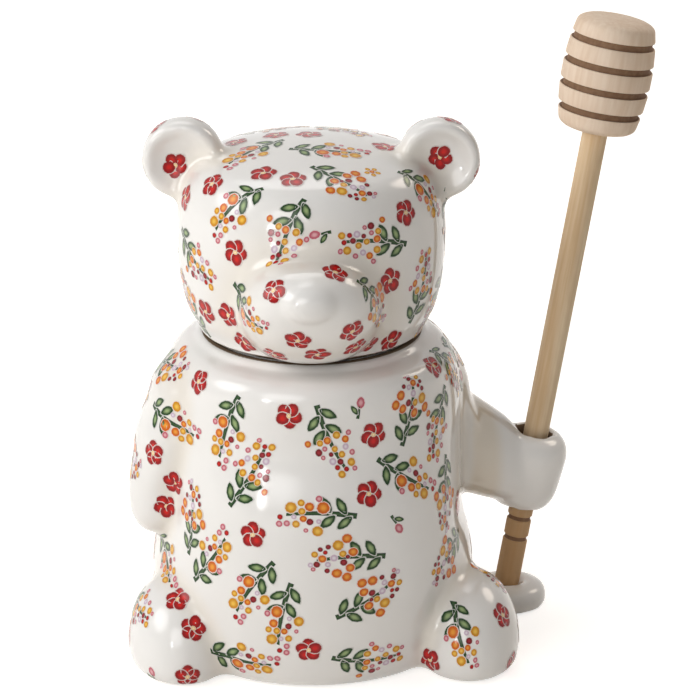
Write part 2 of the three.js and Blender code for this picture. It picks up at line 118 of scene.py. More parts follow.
class HONEYPOT_PG_lid(bpy.types.PropertyGroup):
    height: length_setting("Seat height", "Height of the lid's lower edge", 85.5)
    turn: angle_setting("Turn", "How far the lid is turned on its seat", -5.5)
    cheek_radius: length_setting("Cheek", "Widest radius of the head", 34.5)
    crown_radius: length_setting("Crown", "Radius of the flattened top", 25.5)
    wall: length_setting("Wall", "Thickness of the hollow head's wall", 4)
    ear_radius: length_setting("Ear", "Radius of an ear", 10.8)
    ear_blend: length_setting("Ear blend", "Width of the soft joint round an ear", 8)
    muzzle_blend: length_setting("Muzzle blend", "Width of the soft joint round the muzzle", 13)


class HONEYPOT_PG_dipper(bpy.types.PropertyGroup):
    handle_radius: length_setting("Handle", "Radius of the handle", 3.35)
    handle_length: length_setting("Handle length", "From the foot to the dipper's head", 129)
    head_length: length_setting("Head length", "Length of the grooved head", 30)
    head_radius: length_setting("Head", "Radius at the middle of the head", 11.9)
    groove_depth: length_setting("Groove depth", "Depth of the honey grooves", 0.9)
    handle_wood: colour_setting("Handle wood", "Colour of the handle between its grain lines", "#EBD6B6")
    head_wood: colour_setting("Head wood", "Colour of the head between its grain lines", "#EFDAC4")


class HONEYPOT_PG_flowers(bpy.types.PropertyGroup):
    spacing: length_setting("Spacing", "Clear glaze kept between two motifs", 0.8)
    lift: length_setting("Lift", "Height of the painted marks above the glaze", 0.08)
    seed: IntProperty(name="Seed", description="Layout of the tossed flowers", default=41)
    red: colour_setting("Red", "Colour inside the petals", "#D4170D")
    orange: colour_setting("Orange", "Colour inside the orange dots", "#F1A336")
    yellow: colour_setting("Yellow", "Colour inside the yellow dots", "#F3C44E")
    leaf: colour_setting("Leaf", "Colour inside the leaves", "#9AB077")


class HONEYPOT_PG_stage(bpy.types.PropertyGroup):
    azimuth: angle_setting("Azimuth", "Turn of the camera round the pot", -5.5)
    elevation: angle_setting("Elevation", "Height of the camera above the horizon", 20)
    distance: length_setting("Distance", "From the camera to the pot", 900)
    focal: FloatProperty(
        name="Focal length", description="Focal length on a 36 mm frame, in millimetres", default=177.3)
    paper: colour_setting("Paper", "Colour of the floor's paper", "#F0ECE6")


def deselect():
    if bpy.context.mode != "OBJECT":
        bpy.ops.object.mode_set(mode="OBJECT")
    bpy.ops.object.select_all(action="DESELECT")


def pick(*objects):
    """Select these objects alone and make the first one active."""
    deselect()
    for obj in objects:
        obj.select_set(True)
    bpy.context.view_layer.objects.active = objects[0]


def modify(obj, kind, **settings):
    """Add a modifier, set it and apply it."""
    pick(obj)
    modifier = obj.modifiers.new(kind.title(), kind)
    for key, value in settings.items():
        setattr(modifier, key, value)
    bpy.ops.object.modifier_apply(modifier=modifier.name)


def place(obj, matrix):
    """Turn and move a form, and keep the result in its mesh."""
    pick(obj)
    obj.matrix_world = matrix
    bpy.ops.object.transform_apply(location=True, rotation=True, scale=True)


def joined(name, forms):
    """Join forms into one, under a new name."""
    pick(*forms)
    if len(forms) > 1:
        bpy.ops.object.join()
    obj = bpy.context.view_layer.objects.active
    obj.name = name
    obj.data.name = name
    return obj


def stacked(name, rings, segments):
    """Extrude a disc up through rings of (x, y, z, half x, half y), closed at both ends."""
    deselect()
    bpy.ops.mesh.primitive_circle_add(vertices=segments, radius=1.0, fill_type="NGON")
    obj = bpy.context.object
    obj.name = name
    bpy.ops.object.mode_set(mode="EDIT")
    bpy.ops.mesh.select_all(action="SELECT")
    bpy.ops.transform.resize(value=(rings[0][3], rings[0][4], 1.0), center_override=(0.0, 0.0, 0.0))
    bpy.ops.transform.translate(value=rings[0][:3])
    for last, ring in zip(rings, rings[1:]):
        step = [ring[k] - last[k] for k in range(3)]
        bpy.ops.mesh.extrude_region_move(TRANSFORM_OT_translate={"value": step, "orient_type": "GLOBAL"})
        scale = (ring[3] / last[3], ring[4] / last[4], 1.0)
        bpy.ops.transform.resize(value=scale, center_override=ring[:3])
    bpy.ops.mesh.select_all(action="SELECT")
    bpy.ops.mesh.normals_make_consistent(inside=False)
    bpy.ops.object.mode_set(mode="OBJECT")
    return obj


def turned(name, profile, segments):
    """A form turned on the Z axis from (radius, height) points."""
    tip = 0.3 * MM
    return stacked(name, [(0.0, 0.0, z, max(r, tip), max(r, tip)) for r, z in profile], segments)


def outline(start, *curves):
    """Points of a profile along curves that follow each other.

    A curve is (first handle, second handle, end, number of points)."""
    points = []
    for first, second, end, count in curves:
        run = interpolate_bezier(Vector(start), Vector(first), Vector(second), Vector(end), count)
        points += [(p.x, p.y) for p in (run[1:] if points else run)]
        start = end
    return points


def mix(a, b, share):
    return a + (b - a) * share


def ease(share):
    share = min(max(share, 0.0), 1.0)
    return share * share * (3 - 2 * share)


def rounded_end(distance, reach, least):
    """Share of the full width that a rounded end leaves at a distance from its tip."""
    short = 1 - min(distance, reach) / reach
    return max(math.sqrt(1 - short * short), least)


def cut(obj, cutter):
    """Cut one form out of another and throw the cutter away."""
    modify(obj, "BOOLEAN", operation="DIFFERENCE", object=cutter, solver="EXACT", use_self=True)
    bpy.data.objects.remove(cutter, do_unlink=True)


def surface_of(obj):
    return BVHTree.FromObject(obj, bpy.context.evaluated_depsgraph_get())


def raise_warmth(obj, values):
    """Mark how warm the white is at each point, where it isn't marked warmer already."""
    if "warmth" not in obj.data.attributes:
        obj.data.attributes.new("warmth", "FLOAT", "POINT")
    warmth = obj.data.attributes["warmth"].data
    marked = [0.0] * len(values)
    warmth.foreach_get("value", marked)
    warmth.foreach_set("value", [max(pair) for pair in zip(marked, values)])


def soften_root(obj, body, limb, width, passes, from_seam):
    """Round a joint off, as slip and glaze do, where the body and a limb lie close together."""
    seam_fade = 4 * MM
    weights = []
    for vertex in obj.data.vertices:
        from_limb = limb.find_nearest(vertex.co, width)[3]
        from_body = None if from_limb is None else body.find_nearest(vertex.co, width)[3]
        near = 0.0 if from_body is None else ease(1 - max(from_limb, from_body) / width)
        weights.append(near * ease(from_seam(vertex.co) / seam_fade))
    raise_warmth(obj, weights)
    group = obj.vertex_groups.new(name="root")
    for index, weight in enumerate(weights):
        if weight > 0:
            group.add([index], weight, "REPLACE")
    modify(obj, "SMOOTH", factor=0.5, iterations=passes, vertex_group="root")
    obj.vertex_groups.clear()


def pot_flank(pot):
    """Outer outline of the pot from the edge of its base to the rim."""
    shoulder = pot.rim_height - pot.chest_height
    waist_rise = pot.waist_height - pot.belly_height
    chest_rise = pot.chest_height - pot.waist_height
    return outline(
        (pot.base_radius, 0),
        (((pot.base_radius + pot.belly_radius) / 2, 0),
         (pot.belly_radius, pot.belly_height * 0.3),
         (pot.belly_radius, pot.belly_height), 8),
        ((pot.belly_radius, pot.belly_height + waist_rise / 2),
         (pot.waist_radius, pot.waist_height - waist_rise / 2),
         (pot.waist_radius, pot.waist_height), 9),
        ((pot.waist_radius, pot.waist_height + chest_rise / 3),
         (pot.chest_radius, pot.chest_height - chest_rise / 3),
         (pot.chest_radius, pot.chest_height), 6),
        ((pot.chest_radius, pot.chest_height + shoulder * 0.62),
         (mix(pot.rim_radius, pot.chest_radius, 0.75), pot.rim_height - RIM_EDGE * 2),
         (pot.rim_radius, pot.rim_height - RIM_EDGE), 12),
        ((pot.rim_radius - RIM_EDGE / 2, pot.rim_height - RIM_EDGE / 4),
         (pot.rim_radius - RIM_EDGE, pot.rim_height),
         (pot.rim_radius - RIM_EDGE * 1.5, pot.rim_height), 5),
    )


def pot_inside(pot):
    """Outline of the jar's inside from the lip down to the middle of the floor."""
    floor = 5 * MM
    neck = pot.rim_height - 6 * MM
    chest = pot.chest_radius - pot.wall
    belly = pot.belly_radius - pot.wall
    lip = 1.2 * MM
    drop = neck - pot.chest_height
    return (
        outline(
            (pot.mouth_radius + lip, pot.rim_height),
            ((pot.mouth_radius + lip / 2, pot.rim_height),
             (pot.mouth_radius, pot.rim_height - lip / 2),
             (pot.mouth_radius, pot.rim_height - lip), 4))
        + outline(
            (pot.mouth_radius, neck),
            ((pot.mouth_radius + pot.wall, neck - drop / 4),
             (chest, pot.chest_height + drop / 2),
             (chest, pot.chest_height), 8))
        + [(pot.waist_radius - pot.wall, pot.waist_height)]
        + outline(
            (belly, floor + pot.belly_height),
            ((belly, floor + pot.belly_height / 4),
             (pot.belly_radius - pot.wall * 1.5, floor),
             (pot.base_radius - pot.wall, floor), 6))
        + [(0.0, floor)]
    )


def radius_at(profile, height):
    for (r0, z0), (r1, z1) in zip(profile, profile[1:]):
        if z0 < height <= z1:
            return mix(r0, r1, (height - z0) / (z1 - z0))
    raise ValueError("the profile doesn't reach that height")


def pot_front(pot):
    """Outline of the pot's front: a full belly that ends in a soft ledge, and an upright chest."""
    belly_height, chest_height = 30 * MM, 70 * MM
    ledge_low, ledge_high = 54 * MM, 60 * MM
    top = pot.rim_height - RIM_EDGE
    return outline(
        (pot.base_radius, 0),
        ((mix(pot.base_radius, pot.belly_front, 0.5), 0),
         (pot.belly_front, belly_height * 0.3),
         (pot.belly_front, belly_height), 10),
        ((pot.belly_front, ledge_high),
         (pot.chest_front, ledge_low),
         (pot.chest_front, chest_height), 16),
        ((pot.chest_front, top - RIM_EDGE),
         (pot.chest_front - 0.3 * MM, top - 0.1 * MM),
         (pot.rim_radius, top), 14),
    )


def fill_front(obj, pot):
    """Pull the outer skin forwards to the front outline, fading out towards the sides."""
    full, faded = 25, 80
    flank = pot_flank(pot)
    front = pot_front(pot)
    for vertex in obj.data.vertices:
        x, y, z = vertex.co
        if not 0 < z < front[-1][1]:
            continue
        radius = math.hypot(x, y)
        side = radius_at(flank, z)
        if radius < side - pot.wall / 2:
            continue
        turn = abs(math.degrees(math.atan2(x, -y)))
        stretch = 1 + (radius_at(front, z) - side) * ease((faded - turn) / (faded - full)) / radius
        vertex.co.x *= stretch
        vertex.co.y *= stretch


def leg(name, pot, side, stand_off, angle):
    """Domed lobe with a flat sole, longer than it is wide."""
    half_width, half_length, edge = 14.3 * MM, 19.5 * MM, 3.6 * MM
    share = edge / half_width
    tip = 0.02
    profile = [(0.0, 0.0)] + outline(
        (1 - share, 0),
        ((1 - share / 3, 0), (1, edge / 3), (1, edge * 1.5), 6),
        ((1, pot.leg_height * 0.7), (0.62, pot.leg_height), (0, pot.leg_height), 14))
    away = pot.belly_radius + stand_off
    x = side * away * math.cos(angle)
    y = -away * math.sin(angle)
    rings = [(x, y, z, max(r, tip) * half_width, max(r, tip) * half_length) for r, z in profile]
    return stacked(name, rings, segments=48)


def relief_arm(name, pot, angle, top, length, stations, steps):
    """Upright oval sections down the pot's side, rounded off at both ends.

    A station is (share of the length, stand-off from the pot, half width, half thickness)."""
    flank = pot_flank(pot)
    rings = []
    for step in range(1, steps):
        t = (1 - math.cos(math.pi * step / steps)) / 2
        for low, high in zip(stations, stations[1:]):
            if low[0] <= t <= high[0]:
                share = ease((t - low[0]) / (high[0] - low[0]))
                outset, half_width, half_thick = [mix(low[k], high[k], share) for k in (1, 2, 3)]
        rounding = rounded_end(min(t, 1 - t), reach=0.2, least=0.04)
        height = top - t * length
        away = radius_at(flank, height) + outset
        rings.append((away, 0.0, height, half_thick * rounding, half_width * rounding))
    arm = stacked(name, rings, segments=40)
    place(arm, Matrix.Rotation(angle, 4, "Z"))
    return arm


def dipper_frame(pot):
    """Place of the dipper: its foot at the origin and its axis along +Z."""
    return (
        Matrix.Rotation(REACH_ANGLE, 4, "Z")
        @ Matrix.Translation((pot.belly_radius + REST_REACH, 0.0, FOOT_HEIGHT))
        @ Matrix.Rotation(DIPPER_LEAN, 4, "Y")
    )


def ring_hand(pot):
    """Forearm turned outwards and a hand like a barrel, bored along the dipper's axis."""
    rise, half, radius, bore_radius = 33.8 * MM, 11.8 * MM, 9.6 * MM, 5.1 * MM
    under, over = 8.6 * MM, 6.5 * MM
    wrist_drop, elbow_drop = 4.5 * MM, 34.6 * MM
    leaning = dipper_frame(pot)
    bored = leaning @ Matrix.Translation((-0.7 * MM, 0.0, 0.0))
    hand = turned(
        "hand",
        [(0.0, -half)]
        + outline(
            (radius - under, -half),
            ((radius - under / 3, -half), (radius, under / 3 - half), (radius, under - half), 10))
        + outline(
            (radius, half - over),
            ((radius, half - over / 3), (radius - over / 3, half), (radius - over, half), 8))
        + [(0.0, half)],
        segments=48)
    place(hand, bored @ Matrix.Translation((0.0, 0.0, rise)) @ Matrix.Rotation(HAND_TILT, 4, "X"))
    wrist = leaning @ Vector((0.0, 0.0, rise)) - Vector((0.0, 0.0, wrist_drop))
    elbow_height = pot.rim_height - elbow_drop
    elbow_reach = radius_at(pot_flank(pot), elbow_height)
    elbow = Matrix.Rotation(REACH_ANGLE, 4, "Z") @ Vector((elbow_reach, 0, elbow_height))
    along = wrist - elbow
    sunk, steps = 0.4, 16
    rings = []
    for step in range(steps + 1):
        share = -sunk + (1 + sunk) * step / steps
        slim = ease((share - 0.3) / 0.7)
        rounding = rounded_end(min(share + sunk, 1 - share), reach=0.25, least=0.05)
        half_x = mix(12.0, 7.5, slim) * MM * rounding
        half_y = mix(10.5, 8.5, slim) * MM * rounding
        rings.append((0.0, 0.0, share * along.length, half_x, half_y))
    forearm = stacked("forearm", rings, segments=48)
    axis = along.normalized()
    side = Vector((0, 0, 1)).cross(axis).normalized()
    turn = Matrix((side.cross(axis), side, axis)).transposed().to_4x4()
    place(forearm, Matrix.Translation(elbow) @ turn)
    arm = joined("ring_hand", [forearm, hand])
    bore = turned("bore", [(bore_radius, rise - half * 2), (bore_radius, rise + half * 2)], segments=48)
    place(bore, bored)
    cut(arm, bore)
    return arm


def rest_boss(pot):
    """Low boss joined to the pot's side, with a shallow socket for the dipper's foot."""
    radius, wall, height, aside = 10.2 * MM, 3.4 * MM, 6.2 * MM, -1.8 * MM
    tail = 12 * MM
    socket_radius, socket_floor, socket_top = 4.35 * MM, -0.3 * MM, 20 * MM
    boss = turned(
        "rest",
        [(0.0, 0.0), (radius, 0.0)]
        + outline(
            (radius, wall),
            ((radius * 0.98, height * 0.9), (radius * 0.7, height), (radius * 0.5, height), 8))
        + [(0.0, height)],
        segments=48)
    for vertex in boss.data.vertices:
        if vertex.co.x < -0.01 * MM:
            vertex.co.x -= tail
    spot = (pot.belly_radius + REST_REACH, aside, 0.0)
    place(boss, Matrix.Rotation(REACH_ANGLE, 4, "Z") @ Matrix.Translation(spot))
    socket = turned("socket", [(socket_radius, socket_floor), (socket_radius, socket_top)], segments=40)
    place(socket, dipper_frame(pot))
    cut(boss, socket)
    return boss


def paint_faces(obj, material, test):
    """Give the faces that pass the test a second material."""
    obj.data.materials.append(material)
    slot = len(obj.data.materials) - 1
    for face in obj.data.polygons:
        if test(face):
            face.material_index = slot


def mark_bare(obj, share):
    """Mark how bare of glaze the skin is, from 0 to 1, as a place and its normal give it."""
    bare = obj.data.attributes.new("bare", "FLOAT", "POINT")
    bare.data.foreach_set("value", [share(vertex.co, vertex.normal) for vertex in obj.data.vertices])


def fuse(name, body, limbs, voxel, seam, upward, glaze):
    """Join a body and its limbs into one glazed skin with soft joints.

    A limb is (form, width of its joint, passes). From the seam on, upwards or downwards, the skin stays
    crisp."""
    crisp_fade = 2 * MM
    body_surface = surface_of(body)
    joints = [(surface_of(form), width, passes) for form, width, passes in limbs]
    obj = joined(name, [body] + [form for form, width, passes in limbs])
    modify(obj, "REMESH", mode="VOXEL", voxel_size=voxel, adaptivity=0.0)

    def from_seam(spot):
        return (seam - spot.z) * upward

    for limb_surface, width, passes in joints:
        soften_root(obj, body_surface, limb_surface, width, passes, from_seam)
    modify(obj, "SMOOTH", factor=0.5, iterations=4)
    group = obj.vertex_groups.new(name="soft")
    for vertex in obj.data.vertices:
        group.add([vertex.index], ease(from_seam(vertex.co) / crisp_fade), "REPLACE")
    modify(obj, "SMOOTH", factor=0.5, iterations=14, vertex_group="soft")
    obj.vertex_groups.clear()
    pick(obj)
    bpy.ops.object.shade_smooth()
    obj.data.materials.clear()
    obj.data.materials.append(glaze)
    return obj


class HONEYPOT_OT_glazed_pot(bpy.types.Operator):
    """Model the jar with its legs, arms and dipper rest as one glazed skin"""

    bl_idname = "honeypot.glazed_pot"
    bl_label = "Glazed Pot"

    def execute(self, context):
        pot = context.scene.honeypot_pot
        flank = pot_flank(pot)
        jar = turned("jar", [(0.0, 0.0)] + flank + pot_inside(pot), segments=96)
        fill_front(jar, pot)
        limbs = joined("limbs", [
            leg("right_leg", pot, side=-1, stand_off=-2.4 * MM, angle=math.radians(27)),
            leg("left_leg", pot, side=1, stand_off=2 * MM, angle=math.radians(31.5)),
            self.hanging_arm(pot),
            self.upper_arm(pot),
            ring_hand(pot),
            rest_boss(pot),
        ])
        sunk, sole = 2 * MM, 2 * MM
        plug = [(0.0, sole)] + [(r - sunk, max(z - 0.5 * MM, sole)) for r, z in flank]
        cut(limbs, turned("plug", plug, segments=96))
        obj = fuse(
            "glazed_pot", jar, [(limbs, pot.root_blend, 60)],
            voxel=0.89 * MM, seam=pot.rim_height - 2 * MM, upward=1, glaze=white_glaze(pot))
        self.wipe_glaze(obj, pot)
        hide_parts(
            "pot_body", "right_leg", "left_leg", "right_arm", "left_arm_ring_hand", "dipper_rest")
        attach(obj, "pot")
        return {"FINISHED"}

    def hanging_arm(self, pot):
        thick, shoulder, paw, outset = 8 * MM, 14 * MM, 9.5 * MM, 1.8 * MM
        return relief_arm(
            "hanging_arm", pot, angle=math.radians(188), top=pot.rim_height - 3 * MM, length=50.5 * MM,
            stations=[
                (0, -0.8 * thick, shoulder, thick), (0.22, -0.5 * thick, shoulder, thick),
                (0.5, 0.0, shoulder, thick), (0.78, outset, paw, thick), (1, outset, paw, thick)],
            steps=28)

    def upper_arm(self, pot):
        wide, thick = 12 * MM, 6.5 * MM
        return relief_arm(
            "upper_arm", pot, angle=REACH_ANGLE, top=pot.rim_height - 5 * MM, length=29.6 * MM,
            stations=[(0, -5.8 * MM, wide, thick), (0.5, -2.6 * MM, wide, thick), (1, 2 * MM, wide, thick)],
            steps=22)

    def wipe_glaze(self, obj, pot):
        """Leave the hand's bore, the base and the lid's seat bare, and paint warm shade on the forearm,
        where the pot shadows it.
        """
        seat = pot.rim_height - 1.2 * MM
        hidden = pot.rim_radius - 0.8 * MM
        bore_room, bore_edge, base_edge = 7 * MM, 6.6 * MM, 1.2 * MM
        arm_start, arm_end, arm_low = 39 * MM, 52 * MM, 22 * MM
        to_dipper = dipper_frame(pot).inverted()
        to_arm = Matrix.Rotation(-REACH_ANGLE, 3, "Z")

        def bare(spot, normal):
            from_axis = (to_dipper @ spot).to_2d().length
            if from_axis < bore_room:
                return ease((bore_edge - from_axis) / (1 * MM)) * ease((0.8 - abs(normal.z)) / 0.5)
            if spot.z < pot.belly_height:
                return ease((base_edge - spot.z) / base_edge) * ease((-normal.z - 0.7) / 0.25)
            radius = spot.to_2d().length
            within = ease((hidden - radius) / (2 * MM))
            beyond_mouth = ease((radius - pot.mouth_radius + 1 * MM) / (1 * MM))
            return within * beyond_mouth * ease((spot.z - seat) / (1 * MM))

        # Painted warm shade: the forearm lies in the pot's shadow from the window, so its white is warmed
        # there
        def forearm_shade(spot):
            along = (to_arm @ spot).x
            on_forearm = ease((along - arm_start) / (4 * MM)) * ease((arm_end - along) / (5 * MM))
            return 1.7 * on_forearm * ease((spot.z - arm_low) / (6 * MM))

        mark_bare(obj, bare)
        raise_warmth(obj, [forearm_shade(vertex.co) for vertex in obj.data.vertices])


def head_flank(pot, lid, inset):
    """Outline of the head from its lower edge to the top, moved in by a wall for the hollow."""
    crown_rise, dome_rise = 21.1 * MM, 3.8 * MM
    start = pot.rim_radius - LID_INSET - inset
    cheek = (lid.cheek_radius - inset, lid.height + CHEEK_RISE)
    crown = (lid.crown_radius - inset / 2, lid.height + CHEEK_RISE + crown_rise - inset)
    top = lid.height + CHEEK_RISE + crown_rise + dome_rise - inset
    return outline(
        (start, lid.height + LID_EDGE),
        ((start + (cheek[0] - start) * 0.7, lid.height + LID_EDGE + CHEEK_RISE * 0.2),
         (cheek[0], cheek[1] - CHEEK_RISE * 0.45),
         cheek, 10),
        ((cheek[0], cheek[1] + crown_rise * 0.62),
         (crown[0] + (cheek[0] - crown[0]) * 0.72, crown[1] - crown_rise * 0.06),
         crown, 10),
        ((crown[0] * 0.7, crown[1] + dome_rise * 0.62),
         (crown[0] * 0.35, top),
         (0, top), 8),
    )


def ear(name, lid, side, root):
    """Round ear with a dished front, standing off the crown's side."""
    radius, half, dish, depth, stand_off = lid.ear_radius, 5 * MM, 7.2 * MM, 3 * MM, 2.9 * MM
    lip = (radius + dish) / 2
    profile = [(0.0, -half)] + outline(
        (radius - half, -half),
        ((radius - half * 0.45, -half), (radius, -half * 0.55), (radius, 0), 6),
        ((radius, half * 0.75), (radius - (radius - dish) * 0.2, half), (lip, half), 6),
        ((dish, half), (dish, half - depth), (0, half - depth), 8))
    obj = turned(name, profile, segments=48)
    out = root[0] + stand_off * math.cos(EAR_ELEVATION)
    up = root[1] + stand_off * math.sin(EAR_ELEVATION)
    turn = Matrix.Rotation(side * math.radians(6), 4, "Z") @ Matrix.Rotation(math.pi / 2, 4, "X")
    place(obj, Matrix.Rotation(lid.turn, 4, "Z") @ Matrix.Translation((side * out, 0.0, up)) @ turn)
    return obj


def edge_at(profile, middle, elevation):
    """Place on the head's outline, seen from its middle at an elevation."""
    steep = math.tan(elevation)
    for (r0, z0), (r1, z1) in zip(profile, profile[1:]):
        gap0 = (z0 - middle) - steep * r0
        gap1 = (z1 - middle) - steep * r1
        if gap0 < 0 <= gap1:
            share = gap0 / (gap0 - gap1)
            return mix(r0, r1, share), mix(z0, z1, share)
    raise ValueError("no place on the outline at that elevation")


def lump(name, middle, halves, fullness, lean):
    """Rounded lump: a sphere drawn out to its three half sizes, fuller than round above a fullness of 2.

    It leans forwards towards its top."""
    deselect()
    bpy.ops.mesh.primitive_uv_sphere_add(segments=48, ring_count=32, radius=1.0)
    obj = bpy.context.object
    obj.name = name
    for vertex in obj.data.vertices:
        vertex.co /= sum(abs(part) ** fullness for part in vertex.co) ** (1 / fullness)
    place(obj, Matrix.Diagonal((*halves, 1.0)))
    for vertex in obj.data.vertices:
        vertex.co.y -= lean * vertex.co.z
    place(obj, Matrix.Translation(middle))
    return obj


class HONEYPOT_OT_glazed_lid(bpy.types.Operator):
    """Model the hollow head with its ears, muzzle and locating flange as one glazed skin"""

    bl_idname = "honeypot.glazed_lid"
    bl_label = "Glazed Lid"

    def execute(self, context):
        pot = context.scene.honeypot_pot
        lid = context.scene.honeypot_lid
        outer = head_flank(pot, lid, 0.0)
        foot = lid.height - 7.5 * MM
        shell = turned("shell", self.shell_profile(pot, lid, outer, foot), segments=96)
        root = edge_at(outer, lid.height + CHEEK_RISE, EAR_ELEVATION)
        ears = joined("ears", [ear("right_ear", lid, -1, root), ear("left_ear", lid, 1, root)])
        snout = self.snout(lid, outer)
        sunk = 2 * MM
        inner = [(max(r - sunk, 0), min(z, outer[-1][1] - sunk)) for r, z in outer]
        for feature in (ears, snout):
            cut(feature, turned("plug", inner, segments=96))
        features = [(ears, lid.ear_blend, 90), (snout, lid.muzzle_blend, 220)]
        seam = lid.height + LID_EDGE
        obj = fuse(
            "glazed_lid", shell, features, voxel=0.65 * MM, seam=seam, upward=-1, glaze=white_glaze(pot))
        under_edge = lid.height + 2 * MM

        def bare(spot, normal):
            below = ease((under_edge - spot.z) / (1.5 * MM))
            return below * ease((spot.z - foot) / (5 * MM)) * ease(-normal.z / 0.8)

        mark_bare(obj, bare)
        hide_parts("head_shell", "right_ear", "left_ear", "muzzle")
        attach(obj, "lid")
        return {"FINISHED"}

    def shell_profile(self, pot, lid, outer, foot):
        """Outline of the hollow head, from the top of its hollow round the flange to the top outside."""
        hollow = head_flank(pot, lid, lid.wall)
        rim = pot.rim_radius - LID_INSET
        flange = pot.mouth_radius - 0.8 * MM
        flange_inside = flange - 2.8 * MM
        step = 0.7 * MM
        return (
            list(reversed(hollow[1:]))
            + [(flange_inside, lid.height), (flange_inside, foot), (flange, foot), (flange, lid.height)]
            + [(flange + 1.2 * MM, lid.height), (flange + 1.4 * MM, lid.height + step)]
            + outline(
                (rim - step, lid.height + step),
                ((rim - step / 2, lid.height + step),
                 (rim - step / 4, lid.height + step * 1.4),
                 (rim, lid.height + LID_EDGE), 5))[:-1]
            + outer
        )

    def snout(self, lid, outer):
        """Muzzle with a flat underside, and the soft nose on it."""
        sunk, nose_reach, wide = 5.5 * MM, 16.2 * MM, 60 * MM
        forward = radius_at(outer, lid.height + MUZZLE_RISE) - sunk
        muzzle_spot = (0.0, -forward, lid.height + MUZZLE_RISE)
        nose_spot = (0.0, -forward - nose_reach, lid.height + NOSE_RISE)
        muzzle = lump("muzzle", muzzle_spot, Vector((18.2, 17, 15.5)) * MM, fullness=2.2, lean=0.5)
        nose = lump("nose", nose_spot, Vector((7.5, 5, 5.5)) * MM, fullness=2.0, lean=0.0)
        for form in (muzzle, nose):
            place(form, Matrix.Rotation(lid.turn, 4, "Z"))
        cut(muzzle, turned("under", [(wide, wide), (wide, lid.height + 0.5 * MM)], segments=32))
        return joined("snout", [muzzle, nose])


class HONEYPOT_OT_dipper(bpy.types.Operator):
    """Turn the handle with its two rings and the grooved head, and lean them in the hand"""

    bl_idname = "honeypot.dipper"
    bl_label = "Wooden Dipper"

    def execute(self, context):
        dipper = context.scene.honeypot_dipper
        matrix = dipper_frame(context.scene.honeypot_pot)
        rings = (14 * MM, 19.8 * MM)
        handle = turned("wooden_handle", self.handle_profile(dipper, rings), segments=64)
        place(handle, matrix)
        handle.data.materials.append(turned_beech(
            "turned_beech_handle", dipper.handle_wood, linear("#D5B68E"), linear("#BE9262")))
        head = turned("wooden_dipper_head", self.head_profile(dipper), segments=96)
        place(head, matrix @ Matrix.Translation((0.0, 0.0, dipper.handle_length)))
        head.data.materials.append(turned_beech(
            "turned_beech_head", dipper.head_wood, linear("#E0C5AA"), linear("#E0C5AA")))
        to_dipper = matrix.inverted()
        end = 4 * MM

        def in_groove(face):
            spot = to_dipper @ face.center
            height = spot.z - dipper.handle_length
            sunk = self.barrel(dipper, height) - spot.to_2d().length
            return end < height < dipper.head_length - end and sunk > 0.5 * MM

        def in_ring(face):
            spot = to_dipper @ face.center
            return any(abs(spot.z - ring) < 0.6 * MM for ring in rings)

        # The head's grooves and the handle's rings are painted brown: scorch, and painted shade that the
        # shallow grooves don't cast
        groove_brown = groove_scorch_and_shade()
        paint_faces(head, groove_brown, in_groove)
        paint_faces(handle, groove_brown, in_ring)
        for obj, cad_node, slot in (
            (handle, "dipper_handle", "handle_wood"), (head, "dipper_head", "dipper_head_wood"),
        ):
            pick(obj)
            bpy.ops.object.shade_smooth_by_angle(angle=math.radians(40))
            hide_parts(cad_node)
            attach(obj, "dipper")
        return {"FINISHED"}

    def handle_profile(self, dipper, rings):
        """Outline of the handle: an eased foot, two ring grooves and the end inside the head."""
        radius = dipper.handle_radius
        bottom = radius - 0.6 * MM
        half_wide, half_deep = 0.8 * MM, 0.3 * MM
        top = dipper.handle_length + 13 * MM
        profile = [(0.0, 0.0)] + outline(
            (radius - 1 * MM, 0),
            ((radius - 0.5 * MM, 0), (radius, 0.5 * MM), (radius, 1 * MM), 5))
        for height in rings:
            profile += outline(
                (radius, height - half_wide),
                ((bottom, height - half_deep),
                 (bottom, height + half_deep),
                 (radius, height + half_wide), 7))
        profile += [(radius, z * MM) for z in range(30, 129, 10)]
        return profile + [(radius, top), (0.0, top)]

    def barrel(self, dipper, height):
        """Radius of the head's barrel at a height, slimmer towards both ends."""
        across = 2 * height / dipper.head_length - 1
        return dipper.head_radius - 2 * MM * across * across

    def head_profile(self, dipper):
        """Barrel outline with grooves, their edges eased, and a socket for the handle."""
        grooves, groove, end_disc, ease_edge = 4, 1.7 * MM, 4.8 * MM, 0.3 * MM
        length = dipper.head_length
        disc = (length - 2 * end_disc - grooves * groove) / (grooves - 1)
        socket, socket_depth = dipper.handle_radius + 0.15 * MM, 14.15 * MM

        def barrel(height, sunk=0.0):
            return self.barrel(dipper, height) - sunk

        end = barrel(length)
        profile = [(0.0, socket_depth), (socket, socket_depth), (socket, 0.0)] + outline(
            (end - 3 * MM, 0),
            ((end - 1 * MM, 0), (barrel(1 * MM), 1 * MM), (barrel(2 * MM), 2 * MM), 6))
        for count in range(grooves):
            low = end_disc + count * (disc + groove)
            high = low + groove
            bottom = barrel(low, dipper.groove_depth)
            profile += [
                (barrel(low - ease_edge), low - ease_edge),
                (barrel(low, ease_edge * 0.3), low - ease_edge * 0.3),
                (barrel(low, ease_edge), low),
                (bottom, low),
                (bottom, high),
                (barrel(high, ease_edge), high),
                (barrel(high, ease_edge * 0.3), high + ease_edge * 0.3),
                (barrel(high + ease_edge), high + ease_edge),
            ]
        profile += outline(
            (barrel(length - 2 * MM), length - 2 * MM),
            ((barrel(length - 1 * MM), length - 1 * MM),
             (end - 1 * MM, length - 0.3 * MM),
             (end - 3 * MM, length), 8))
        return profile + [(0.0, length)]


